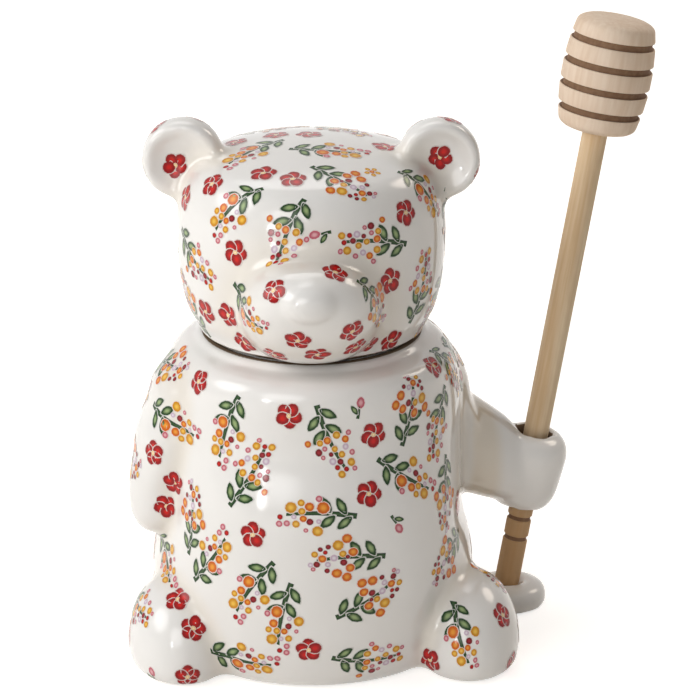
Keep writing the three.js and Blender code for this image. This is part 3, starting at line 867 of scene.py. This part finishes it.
def feed(owner, made, inputs):
    """Set a node's inputs, each to a value, a socket or the first output in use of another node."""
    for key, value in inputs.items():
        if isinstance(value, bpy.types.Node):
            value = next(socket for socket in value.outputs if socket.enabled)
        if isinstance(value, bpy.types.NodeSocket):
            owner.node_tree.links.new(value, made.inputs[key])
        else:
            made.inputs[key].default_value = value


def node(owner, kind, inputs, **settings):
    """Add a node with its settings and feed its inputs."""
    made = owner.node_tree.nodes.new("ShaderNode" + kind)
    for key, value in settings.items():
        setattr(made, key, value)
    feed(owner, made, inputs)
    return made


def new_material(name):
    """A material with a bare Principled surface, and the place on the object that its patterns go by."""
    material = bpy.data.materials.get(name) or bpy.data.materials.new(name)
    material.use_nodes = True
    material.node_tree.nodes.clear()
    shader = node(material, "BsdfPrincipled", {})
    node(material, "OutputMaterial", {"Surface": shader})
    return material, shader, node(material, "TexCoord", {}).outputs["Object"]


def white_glaze(pot):
    # Tin-white stoneware glaze, dipped and fired: a deep even gloss with a slow ripple of about 9 mm, a
    # trace warmer where it pools in the joints, and painted warm shade on the forearm, where the pot
    # shadows it.
    # The dry body shows where the skin is marked bare: cream and gritty under the base, turning dark brown
    # from 10 to 30 mm up, so on the lid's seat and in the bore
    cloud_size, ripple_size, grit_size = 22.2 * MM, 9.1 * MM, 0.526 * MM
    material, shader, where = new_material("white_stoneware_glaze")
    cloud = node(material, "TexNoise", {"Vector": where, "Scale": 1 / cloud_size, "Detail": 2.0})
    body = node(material, "Mix", {
        "Factor": cloud, "A": pot.glaze, "B": linear("#EEEBE6")}, data_type="RGBA")
    # warmth marks glaze pooled in the joints, and painted warm shade on the forearm
    warmth = node(material, "Attribute", {}, attribute_name="warmth").outputs["Fac"]
    share = node(material, "Math", {0: warmth, 1: 0.3}, operation="MULTIPLY")
    tint = node(material, "Mix", {"Factor": share, "A": body, "B": pot.pool_and_shade_tint}, data_type="RGBA")
    ripple = node(material, "TexNoise", {"Vector": where, "Scale": 1 / ripple_size, "Detail": 1.0})
    bump = node(material, "Bump", {"Height": ripple, "Strength": 0.25, "Distance": 0.12 * MM})
    mark = node(material, "Attribute", {}, attribute_name="bare").outputs["Fac"]
    bare = node(material, "MapRange", {"Value": mark, "From Min": 0.42, "From Max": 0.58})
    height = node(material, "SeparateXYZ", {"Vector": where}).outputs["Z"]
    # The bare clay turns dark brown from 10 to 30 mm up, so on the lid's seat and in the hand's bore
    higher_up = node(material, "MapRange", {"Value": height, "From Min": 10 * MM, "From Max": 30 * MM})
    grit = node(material, "TexNoise", {"Vector": where, "Scale": 1 / grit_size, "Detail": 3.0})
    dry = node(material, "Mix", {
        "Factor": grit, "A": pot.dry_clay, "B": linear("#C9BBA5")}, data_type="RGBA")
    deeper_tone = node(material, "Mix", {"Factor": higher_up, "A": dry, "B": linear("#6E5A44")}, data_type="RGBA")
    colour = node(material, "Mix", {"Factor": bare, "A": tint, "B": deeper_tone}, data_type="RGBA")
    gloss = node(material, "MapRange", {"Value": bare, "To Min": 0.1, "To Max": 0.8})
    feed(material, shader, {"Base Color": colour, "Roughness": gloss, "Normal": bump, "IOR": 1.52})
    return material


def turned_beech(name, pale, dark, deeper_tone):
    # Beech turned on a lathe and left bare: straight grain along the stick, short dark flecks, a dull
    # sheen, and a tan tone that deepens lower down the stick, from 50 mm to 22 mm above the floor, below
    # the hand.
    # The grain is drawn coarser than real beech, so that it shows
    line, line_run, band, band_run = 1.11 * MM, 25 * MM, 6.25 * MM, 71.4 * MM
    material, shader, where = new_material(name)
    straight = node(material, "Mapping", {
        "Vector": where, "Rotation": (0.0, DIPPER_LEAN, REACH_ANGLE)}, vector_type="TEXTURE")
    grain = node(material, "Mapping", {"Vector": straight, "Scale": (1 / line, 1 / line, 1 / line_run)})
    lines = node(material, "TexNoise", {"Vector": grain, "Scale": 1.0, "Detail": 4.0})
    broad = node(material, "Mapping", {"Vector": straight, "Scale": (1 / band, 1 / band, 1 / band_run)})
    bands = node(material, "TexNoise", {"Vector": broad, "Scale": 1.0, "Detail": 2.0})
    tone = node(material, "Math", {0: lines, 1: bands}, operation="ADD")
    spread = node(material, "MapRange", {"Value": tone, "From Min": 0.75, "From Max": 1.3})
    body = node(material, "Mix", {"Factor": spread, "A": pale, "B": dark}, data_type="RGBA")
    # The stick turns a deeper tan lower down, from 50 mm to 22 mm above the floor
    height = node(material, "SeparateXYZ", {"Vector": where}).outputs["Z"]
    low = node(material, "MapRange", {
        "Value": height, "From Min": 50 * MM, "From Max": 22 * MM, "To Max": 0.75})
    colour = node(material, "Mix", {"Factor": low, "A": body, "B": deeper_tone}, data_type="RGBA")
    bump = node(material, "Bump", {"Height": lines, "Strength": 0.35, "Distance": 0.1 * MM})
    feed(material, shader, {
        "Base Color": colour, "Normal": bump, "Roughness": 0.62, "Specular IOR Level": 0.35})
    return material


def groove_scorch_and_shade():
    # Beech at the bottom of a turned groove, browned in patches of about 1.4 mm: partly scorch from the
    # tool's heat, and partly painted shade, as the shallow grooves cast little shade of their own
    patch = 1.43 * MM
    material, shader, where = new_material("scorched_beech")
    burn = node(material, "TexNoise", {"Vector": where, "Scale": 1 / patch, "Detail": 3.0})
    body = node(material, "Mix", {
        "Factor": burn, "A": linear("#97775A"), "B": linear("#6A4A34")}, data_type="RGBA")
    feed(material, shader, {"Base Color": body, "Roughness": 0.8})
    return material


def underglaze(name, inside, rim):
    # Painted under the glaze: thin in the middle of the stroke, dark where the colour pools at its edge,
    # and feathered into the white, with a quieter gloss than the white so that the colour stays deep
    wash_size, halo_share = 1.25 * MM, 0.22
    halo = [mix(white, pigment, halo_share) for white, pigment in zip(linear("#F0EDE8"), rim)]
    material, shader, where = new_material(name)
    edge = node(material, "Attribute", {}, attribute_name="edge").outputs["Fac"]
    wash = node(material, "TexNoise", {"Vector": where, "Scale": 1 / wash_size, "Detail": 2.0})
    uneven = node(material, "Math", {0: wash, 1: 0.22, 2: edge}, operation="MULTIPLY_ADD")
    stroke = node(material, "ValToRGB", {"Fac": uneven})
    ramp = stroke.color_ramp.elements
    ramp[0].position = 0.3
    ramp[0].color = inside
    ramp[1].position = 0.72
    ramp[1].color = rim
    ramp.new(0.96).color = rim
    ramp.new(1.0).color = halo
    feed(material, shader, {
        "Base Color": stroke, "Roughness": 0.07, "IOR": 1.52, "Specular IOR Level": 0.22})
    return material


# The motifs are drawn flat, in millimetres, a sprig or twig along +X
def brush_mark(material, spot, half_long, half_wide, turn=0.0, corners=8, pointed=0.0, layer=0):
    """One touch of the brush: a fan of faces, marked 1 on its rim and 0 in its middle."""
    layer_rise = 0.012 * MM
    deselect()
    bpy.ops.mesh.primitive_circle_add(vertices=corners, radius=1.0, fill_type="TRIFAN")
    mark = bpy.context.object
    edge = mark.data.attributes.new("edge", "FLOAT", "POINT")
    edge.data.foreach_set("value", [min(vertex.co.length, 1.0) for vertex in mark.data.vertices])
    for vertex in mark.data.vertices:
        vertex.co.y *= 1 - pointed * vertex.co.x ** 2
    mark.data.materials.append(material)
    spread = Matrix.Diagonal((half_long * MM, half_wide * MM, 1.0, 1.0))
    there = Matrix.Translation((spot[0] * MM, spot[1] * MM, layer * layer_rise))
    place(mark, there @ Matrix.Rotation(turn, 4, "Z") @ spread)
    return mark


def brush_line(material, length, width, bow, spot, turn=0.0):
    """One drawn line that bows to a side and runs out thin."""
    deselect()
    bpy.ops.mesh.primitive_grid_add(x_subdivisions=10, y_subdivisions=2, size=2.0)
    line = bpy.context.object
    edge = line.data.attributes.new("edge", "FLOAT", "POINT")
    edge.data.foreach_set("value", [min(abs(vertex.co.y), 1.0) for vertex in line.data.vertices])
    for vertex in line.data.vertices:
        along = (vertex.co.x + 1) / 2
        across = vertex.co.y * width * mix(1.0, 0.5, along) / 2
        vertex.co.x = along * length * MM
        vertex.co.y = (across + bow * along * along) * MM
    line.data.materials.append(material)
    place(line, Matrix.Translation((spot[0] * MM, spot[1] * MM, 0.0)) @ Matrix.Rotation(turn, 4, "Z"))
    return line


def blossom(paint, rng):
    """Five round petals about a pale eye."""
    petals, reach = 5, 1.75
    start = rng.uniform(0, math.tau)
    marks = []
    for petal in range(petals):
        turn = start + petal * math.tau / petals
        spot = (reach * math.cos(turn), reach * math.sin(turn))
        marks.append(brush_mark(paint["red"], spot, 2.0, 1.85, turn, corners=12, layer=petal))
    marks.append(brush_mark(paint["cream"], (0.0, 0.0), 0.75, 0.6, start, layer=6))
    return joined("blossom", marks)


def dots(paint, rng, spots, colours):
    """Round touches, the yellow and orange ones the fullest; one that would cover another is left out."""
    full, small, apart = (1.0, 2.0), (0.7, 1.15), 0.84
    marks = []
    kept = []
    for spot in spots:
        colour = rng.choice(colours)
        size = rng.uniform(*(full if colour in ("yellow", "orange") else small))
        if any(math.dist(spot, other) < apart * (size + other_size) for other, other_size in kept):
            continue
        kept.append((spot, size))
        layer = 2 + len(kept) % 5
        marks.append(brush_mark(paint[colour], spot, size, size * 0.92, corners=10, layer=layer))
    return marks


def mimosa_sprig(paint, rng):
    """Bowed stem with broad leaves below and a loose spike of dots above."""
    foot, length, bow = (-9.5, -0.9), 18.0, 2.8
    spike_start, spike_end, tries = 0.5, 1.1, 110

    def on_stem(along, aside):
        return (foot[0] + length * along, foot[1] + bow * along * along + aside)

    marks = [brush_line(paint["green"], length, 1.7, bow, foot)]
    for along, side in ((0.16, 1), (0.25, -1), (0.4, 1), (0.47, -1)):
        spot = on_stem(along, side * 2.1)
        marks.append(brush_mark(
            paint["leaf"], spot, 2.8, 1.4, side * 0.85, corners=12, pointed=0.4, layer=1))
    spots = []
    for count in range(tries):
        along = mix(spike_start, spike_end, count / (tries - 1))
        wide = mix(5.8, 2.2, (along - spike_start) / 0.6)
        spots.append(on_stem(along, rng.uniform(-wide, wide)))
    colours = ("yellow",) * 5 + ("orange",) * 5 + ("red", "crimson", "crimson", "pink", "lilac")
    return joined("mimosa_sprig", marks + dots(paint, rng, spots, colours))


def berry_twig(paint, rng):
    """Short forked twig with berries at its tips and two leaves."""
    tries, row, spread = 60, 20, 1.3
    marks = [brush_line(paint["green"], 10.0, 1.4, 1.2, (-6.2, 0.0))]
    for side in (1, -1):
        marks.append(brush_line(paint["green"], 4.2, 1.0, side * 0.7, (-1.6, 0.2), side * 0.8))
        marks.append(brush_mark(
            paint["leaf"], (-3.6, side * 1.9), 2.5, 1.3, side * 0.9, corners=12, pointed=0.4, layer=1))
    spots = []
    for count in range(tries):
        turn = mix(-spread, spread, (count % row) / (row - 1))
        reach = rng.uniform(2.6, 6.4)
        spots.append((-1.2 + reach * math.cos(turn), reach * 0.85 * math.sin(turn) + 0.4))
    colours = ("yellow",) * 3 + ("orange",) * 3 + ("crimson", "red", "pink")
    return joined("berry_twig", marks + dots(paint, rng, spots, colours))


def bud(paint):
    """Closed pink bud on a short stalk."""
    return joined("bud", [
        brush_line(paint["green"], 3.2, 1.0, 0.4, (-3.4, 0.0)),
        brush_mark(paint["pink"], (0.8, 0.3), 1.7, 1.25, 0.2, corners=10, pointed=0.2, layer=1),
        brush_mark(paint["leaf"], (-1.4, 1.4), 1.7, 0.8, 0.9, corners=10, pointed=0.4, layer=1),
    ])


def star_dots(paint):
    """Ring of yellow touches about an orange one."""
    touches, reach = 5, 1.5
    marks = [brush_mark(paint["orange"], (0.0, 0.0), 0.8, 0.8, layer=1)]
    for count in range(touches):
        turn = count * math.tau / touches
        spot = (reach * math.cos(turn), reach * math.sin(turn))
        marks.append(brush_mark(paint["yellow"], spot, 0.85, 0.75, turn))
    return joined("star_dots", marks)


def lay_on(motif, skin, origin, along, normal, lift):
    """Copy a motif onto a skin, each point moved to the glaze below it."""
    across = normal.cross(along)
    mesh = motif.data.copy()
    copy = bpy.data.objects.new(motif.name + "_copy", mesh)
    bpy.context.collection.objects.link(copy)
    for vertex in mesh.vertices:
        flat = origin + along * vertex.co.x + across * vertex.co.y
        spot, facing, face, gap = skin.find_nearest(flat)
        vertex.co = spot + facing * (lift + vertex.co.z)
    return copy


class HONEYPOT_OT_painted_flowers(bpy.types.Operator):
    """Toss painted sprigs, blossoms and berries over the pot and the lid"""

    bl_idname = "honeypot.painted_flowers"
    bl_label = "Painted Flowers"

    def execute(self, context):
        flowers = context.scene.honeypot_flowers
        pot = context.scene.honeypot_pot
        lid = context.scene.honeypot_lid
        rng = random.Random(flowers.seed)
        throws = random.Random(flowers.seed + 1)
        paint = self.mix_paint(flowers)
        # Each kind with the discs that it covers, (place along it, radius) in millimetres, and its throws
        motifs = (
            ([mimosa_sprig(paint, rng) for count in range(3)], ((-6.2, 3.4), (0.0, 4.6), (6.2, 5.0)), 1500),
            ([blossom(paint, rng) for count in range(3)], ((0.0, 3.7),), 1600),
            ([berry_twig(paint, rng) for count in range(2)], ((-3.0, 3.4), (2.6, 5.0)), 1500),
            ([bud(paint)], ((-1.2, 2.6),), 200),
            ([star_dots(paint)], ((0.0, 2.4),), 150),
        )
        for skin_name, body, test in (
            ("glazed_pot", "pot", self.room_on_pot(pot)), ("glazed_lid", "lid", self.room_on_lid(lid)),
        ):
            piece = self.toss(bpy.data.objects[skin_name], motifs, test, flowers, throws)
            piece.name = "painted_flowers_" + body
            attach(piece, body)
        for shapes, discs, tries in motifs:
            for motif in shapes:
                bpy.data.objects.remove(motif, do_unlink=True)
        return {"FINISHED"}

    def mix_paint(self, flowers):
        """Pigments by name, each from its colour inside a stroke and at the stroke's rim."""
        pigments = {
            "red": (flowers.red, "#980A0B"),
            "crimson": (linear("#AA262F"), "#780C15"),
            "orange": (flowers.orange, "#D2620E"),
            "yellow": (flowers.yellow, "#D28E1A"),
            "pink": (linear("#E6B0B4"), "#C4606F"),
            "lilac": (linear("#E6DEE4"), "#CDB4C6"),
            "green": (linear("#36552E"), "#203C21"),
            "leaf": (flowers.leaf, "#22431D"),
            "cream": (linear("#FBEBC8"), "#F0C98B"),
        }
        paint = {}
        for name, (inside, rim) in pigments.items():
            paint[name] = underglaze(name + "_underglaze", inside, linear(rim))
        return paint

    def room_on_pot(self, pot):
        """Test for a place on the jar's outside, clear of the forearm, the dipper and both ends."""
        arm_turn, arm_low, arm_high, dipper_room = math.radians(38), 24 * MM, 68 * MM, 14 * MM
        side, shoulder = pot.chest_radius - 2 * MM, pot.chest_height + 8 * MM
        top = pot.rim_height - 2 * MM
        to_dipper = dipper_frame(pot).inverted()

        def test(point, normal, room):
            radius = math.hypot(point.x, point.y)
            from_dipper = (to_dipper @ point).to_2d().length
            turn = abs(math.atan2(point.y, point.x) - REACH_ANGLE)
            on_forearm = turn < arm_turn and arm_low < point.z < arm_high
            outwards = point.to_2d().dot(normal.to_2d()) > -0.3 * radius and normal.z > -0.4
            outside = radius > side or (point.z > shoulder and normal.z > 0.1)
            in_band = room * 0.5 < point.z < top - room * 0.35
            return outwards and outside and in_band and from_dipper > dipper_room and not on_forearm

        return test

    def room_on_lid(self, lid):
        """Test for a place on the head's outside, clear of the nose and the lower edge."""
        middle = Vector((0.0, 0.0, lid.height + 25 * MM))
        to_face = Matrix.Rotation(-lid.turn, 3, "Z")
        face_reach, nose_room = 30 * MM, 5.5 * MM

        def test(point, normal, room):
            ahead = to_face @ point
            from_nose = math.hypot(ahead.x, ahead.z - lid.height - NOSE_RISE)
            on_nose = ahead.y < -face_reach and from_nose < nose_room + room * 0.9
            above_edge = point.z > lid.height + 2 * MM + room * 0.5
            return above_edge and not on_nose and (point - middle).dot(normal) > 0.1 * MM

        return test

    def toss(self, skin_object, motifs, test, flowers, rng):
        """Throw the motifs at a skin and keep those that land clear of each other and lie flat."""
        skin = surface_of(skin_object)
        faces = skin_object.data.polygons
        taken = []
        copies = []
        for shapes, discs, tries in motifs:
            room = max(abs(along) + radius for along, radius in discs) * MM
            for count in range(tries):
                face = rng.choice(faces)
                point = face.center.copy()
                normal = face.normal.copy()
                turn = rng.uniform(0, math.tau)
                shape = rng.choice(shapes)
                if not test(point, normal, room):
                    continue
                along = Matrix.Rotation(turn, 3, normal) @ normal.orthogonal().normalized()
                claim = [(point + along * x * MM, radius * MM + flowers.spacing / 2) for x, radius in discs]
                if any((a - b).length < wide + other for a, wide in claim for b, other in taken):
                    continue
                if not self.lies_flat(skin, point, normal, along, room):
                    continue
                taken += claim
                copies.append(lay_on(shape, skin, point, along, normal, flowers.lift))
        piece = joined("painted_flowers", copies)
        modify(piece, "SOLIDIFY", thickness=0.1 * MM, offset=-1.0)
        pick(piece)
        bpy.ops.object.shade_smooth_by_angle(angle=math.radians(35))
        return piece

    def lies_flat(self, skin, point, normal, along, room):
        """Whether the skin round a place curves little enough for a motif."""
        around, out, sag, alike = 8, 0.7, 0.25, 0.6
        across = normal.cross(along)
        for step in range(around):
            turn = step * math.tau / around
            reach = (along * math.cos(turn) + across * math.sin(turn)) * room * out
            spot, facing, face, gap = skin.find_nearest(point + reach)
            if gap > room * sag or facing.dot(normal) < alike:
                return False
        return True


class HONEYPOT_OT_stage(bpy.types.Operator):
    """Set the floor, the window light and the camera"""

    bl_idname = "honeypot.stage"
    bl_label = "Studio Stage"

    def execute(self, context):
        stage = context.scene.honeypot_stage
        deselect()
        bpy.ops.mesh.primitive_plane_add(size=8.0, location=(0.0, 0.0, 0.0))
        floor = bpy.context.object
        floor.name = "studio_floor"
        floor.data.materials.append(self.floor_paper(stage))
        # Each lamp with its place, its width and height in metres, its watts and its colour
        for name, spot, width, height, power, colour in (
            ("window_key", (-0.99, -0.11, 0.66), 0.9, 0.9, 6.4, "#FFFFFF"),
            ("window_pane", (-0.46, -0.89, 0.48), 0.75, 0.75, 3.2, "#FFFFFF"),
            ("window_glint", (-0.71, -0.9, 0.2), 0.16, 0.24, 0.9, "#FFFFFF"),
            ("back_soft", (-0.1, 0.5, 1.0), 0.9, 0.6, 2.0, "#FFFFFF"),
            ("right_fill", (0.75, 0.45, 0.75), 0.6, 0.5, 2.6, "#FFF1E2"),
        ):
            self.area_light(name, spot, width, height, power, colour)
        self.white_room(context)
        self.camera(context, stage)
        context.scene.view_settings.view_transform = "Standard"
        return {"FINISHED"}

    def seen(self, owner):
        """1 where the camera or a reflection sees the surface, and 0 for the light that it gives off."""
        path = node(owner, "LightPath", {}).outputs
        return node(owner, "Math", {
            0: path["Is Camera Ray"], 1: path["Is Glossy Ray"]}, operation="MAXIMUM")

    def floor_paper(self, stage):
        # Seamless white paper: matt, and lifted to white where it is seen, wholly beyond the lamps' reach
        material, shader, where = new_material("seamless_white_paper")
        away = node(material, "VectorMath", {0: where}, operation="LENGTH")
        lift = node(material, "MapRange", {
            "Value": away, "From Min": 0.3, "From Max": 1.5, "To Min": 0.66, "To Max": 1.0})
        strength = node(material, "Math", {0: self.seen(material), 1: lift}, operation="MULTIPLY")
        feed(material, shader, {
            "Base Color": stage.paper, "Roughness": 0.9, "Specular IOR Level": 0.1,
            "Emission Color": linear("#FFFFFF"), "Emission Strength": strength})
        return material

    def white_room(self, context):
        """White all round where it is seen, and a faint light of its own."""
        world = bpy.data.worlds.new("white_room")
        context.scene.world = world
        world.use_nodes = True
        background = world.node_tree.nodes["Background"]
        strength = node(world, "MapRange", {"Value": self.seen(world), "To Min": 0.13, "To Max": 1.0})
        feed(world, background, {"Color": linear("#FFFFFF"), "Strength": strength})

    def area_light(self, name, spot, width, height, power, colour):
        """A window of light that looks at the pot and fades towards its edges."""
        aim = Vector((0.0, 0.0, 80 * MM))
        deselect()
        bpy.ops.object.light_add(type="AREA", location=spot)
        obj = bpy.context.object
        obj.name = name
        obj.rotation_euler = (aim - Vector(spot)).to_track_quat("-Z", "Y").to_euler()
        lamp = obj.data
        lamp.shape = "RECTANGLE"
        lamp.size = width
        lamp.size_y = height
        lamp.energy = power
        lamp.color = linear(colour)[:3]
        lamp.use_nodes = True
        across = node(lamp, "NewGeometry", {}).outputs["Parametric"]
        centred = node(lamp, "VectorMath", {
            0: across, 1: (2.0, 2.0, 0.0), 2: (-1.0, -1.0, 0.0)}, operation="MULTIPLY_ADD")
        out = node(lamp, "VectorMath", {0: centred}, operation="LENGTH")
        fade = node(lamp, "MapRange", {
            "Value": out, "From Min": 0.5, "From Max": 1.1, "To Min": 1.9, "To Max": 0.0},
            interpolation_type="SMOOTHSTEP")
        feed(lamp, lamp.node_tree.nodes["Emission"], {"Strength": fade})

    def camera(self, context, stage):
        """A long lens that looks a little down on the pot, from the front."""
        aside, above = 9.95 * MM, 78.6 * MM
        turn, fall = stage.azimuth, stage.elevation
        level = math.cos(fall)
        ahead = Vector((-math.sin(turn) * level, math.cos(turn) * level, -math.sin(fall)))
        right = Vector((math.cos(turn), math.sin(turn), 0.0))
        target = right * aside + Vector((0.0, 0.0, above))
        deselect()
        bpy.ops.object.camera_add(location=target - ahead * stage.distance)
        camera = bpy.context.object
        camera.name = "photo_camera"
        camera.rotation_euler = ahead.to_track_quat("-Z", "Y").to_euler()
        camera.data.sensor_width = 36.0
        camera.data.lens = stage.focal
        context.scene.camera = camera


class HONEYPOT_PT_panel(bpy.types.Panel):
    """Pieces of the honey pot, in the order they are made"""

    bl_idname = "HONEYPOT_PT_panel"
    bl_label = "Honey Pot"
    bl_space_type = "VIEW_3D"
    bl_region_type = "UI"
    bl_category = "Honey Pot"

    def draw(self, context):
        for operator, group in (
            ("honeypot.glazed_pot", "honeypot_pot"),
            ("honeypot.glazed_lid", "honeypot_lid"),
            ("honeypot.painted_flowers", "honeypot_flowers"),
            ("honeypot.dipper", "honeypot_dipper"),
            ("honeypot.stage", "honeypot_stage"),
        ):
            box = self.layout.box()
            settings = getattr(context.scene, group)
            for name in settings.__annotations__:
                box.prop(settings, name)
            box.operator(operator)


GROUPS = {
    "honeypot_pot": HONEYPOT_PG_pot,
    "honeypot_lid": HONEYPOT_PG_lid,
    "honeypot_dipper": HONEYPOT_PG_dipper,
    "honeypot_flowers": HONEYPOT_PG_flowers,
    "honeypot_stage": HONEYPOT_PG_stage,
}

CLASSES = (
    *GROUPS.values(),
    HONEYPOT_OT_glazed_pot,
    HONEYPOT_OT_glazed_lid,
    HONEYPOT_OT_painted_flowers,
    HONEYPOT_OT_dipper,
    HONEYPOT_OT_stage,
    HONEYPOT_PT_panel,
)


def register():
    for cls in CLASSES:
        bpy.utils.register_class(cls)
    for name, group in GROUPS.items():
        setattr(bpy.types.Scene, name, PointerProperty(type=group))


def unregister():
    for name in GROUPS:
        delattr(bpy.types.Scene, name)
    for cls in reversed(CLASSES):
        bpy.utils.unregister_class(cls)


def main():
    register()
    bpy.ops.honeypot.glazed_pot()
    bpy.ops.honeypot.glazed_lid()
    bpy.ops.honeypot.painted_flowers()
    bpy.ops.honeypot.dipper()
    bpy.ops.honeypot.stage()


if __name__ == "__main__":
    main()
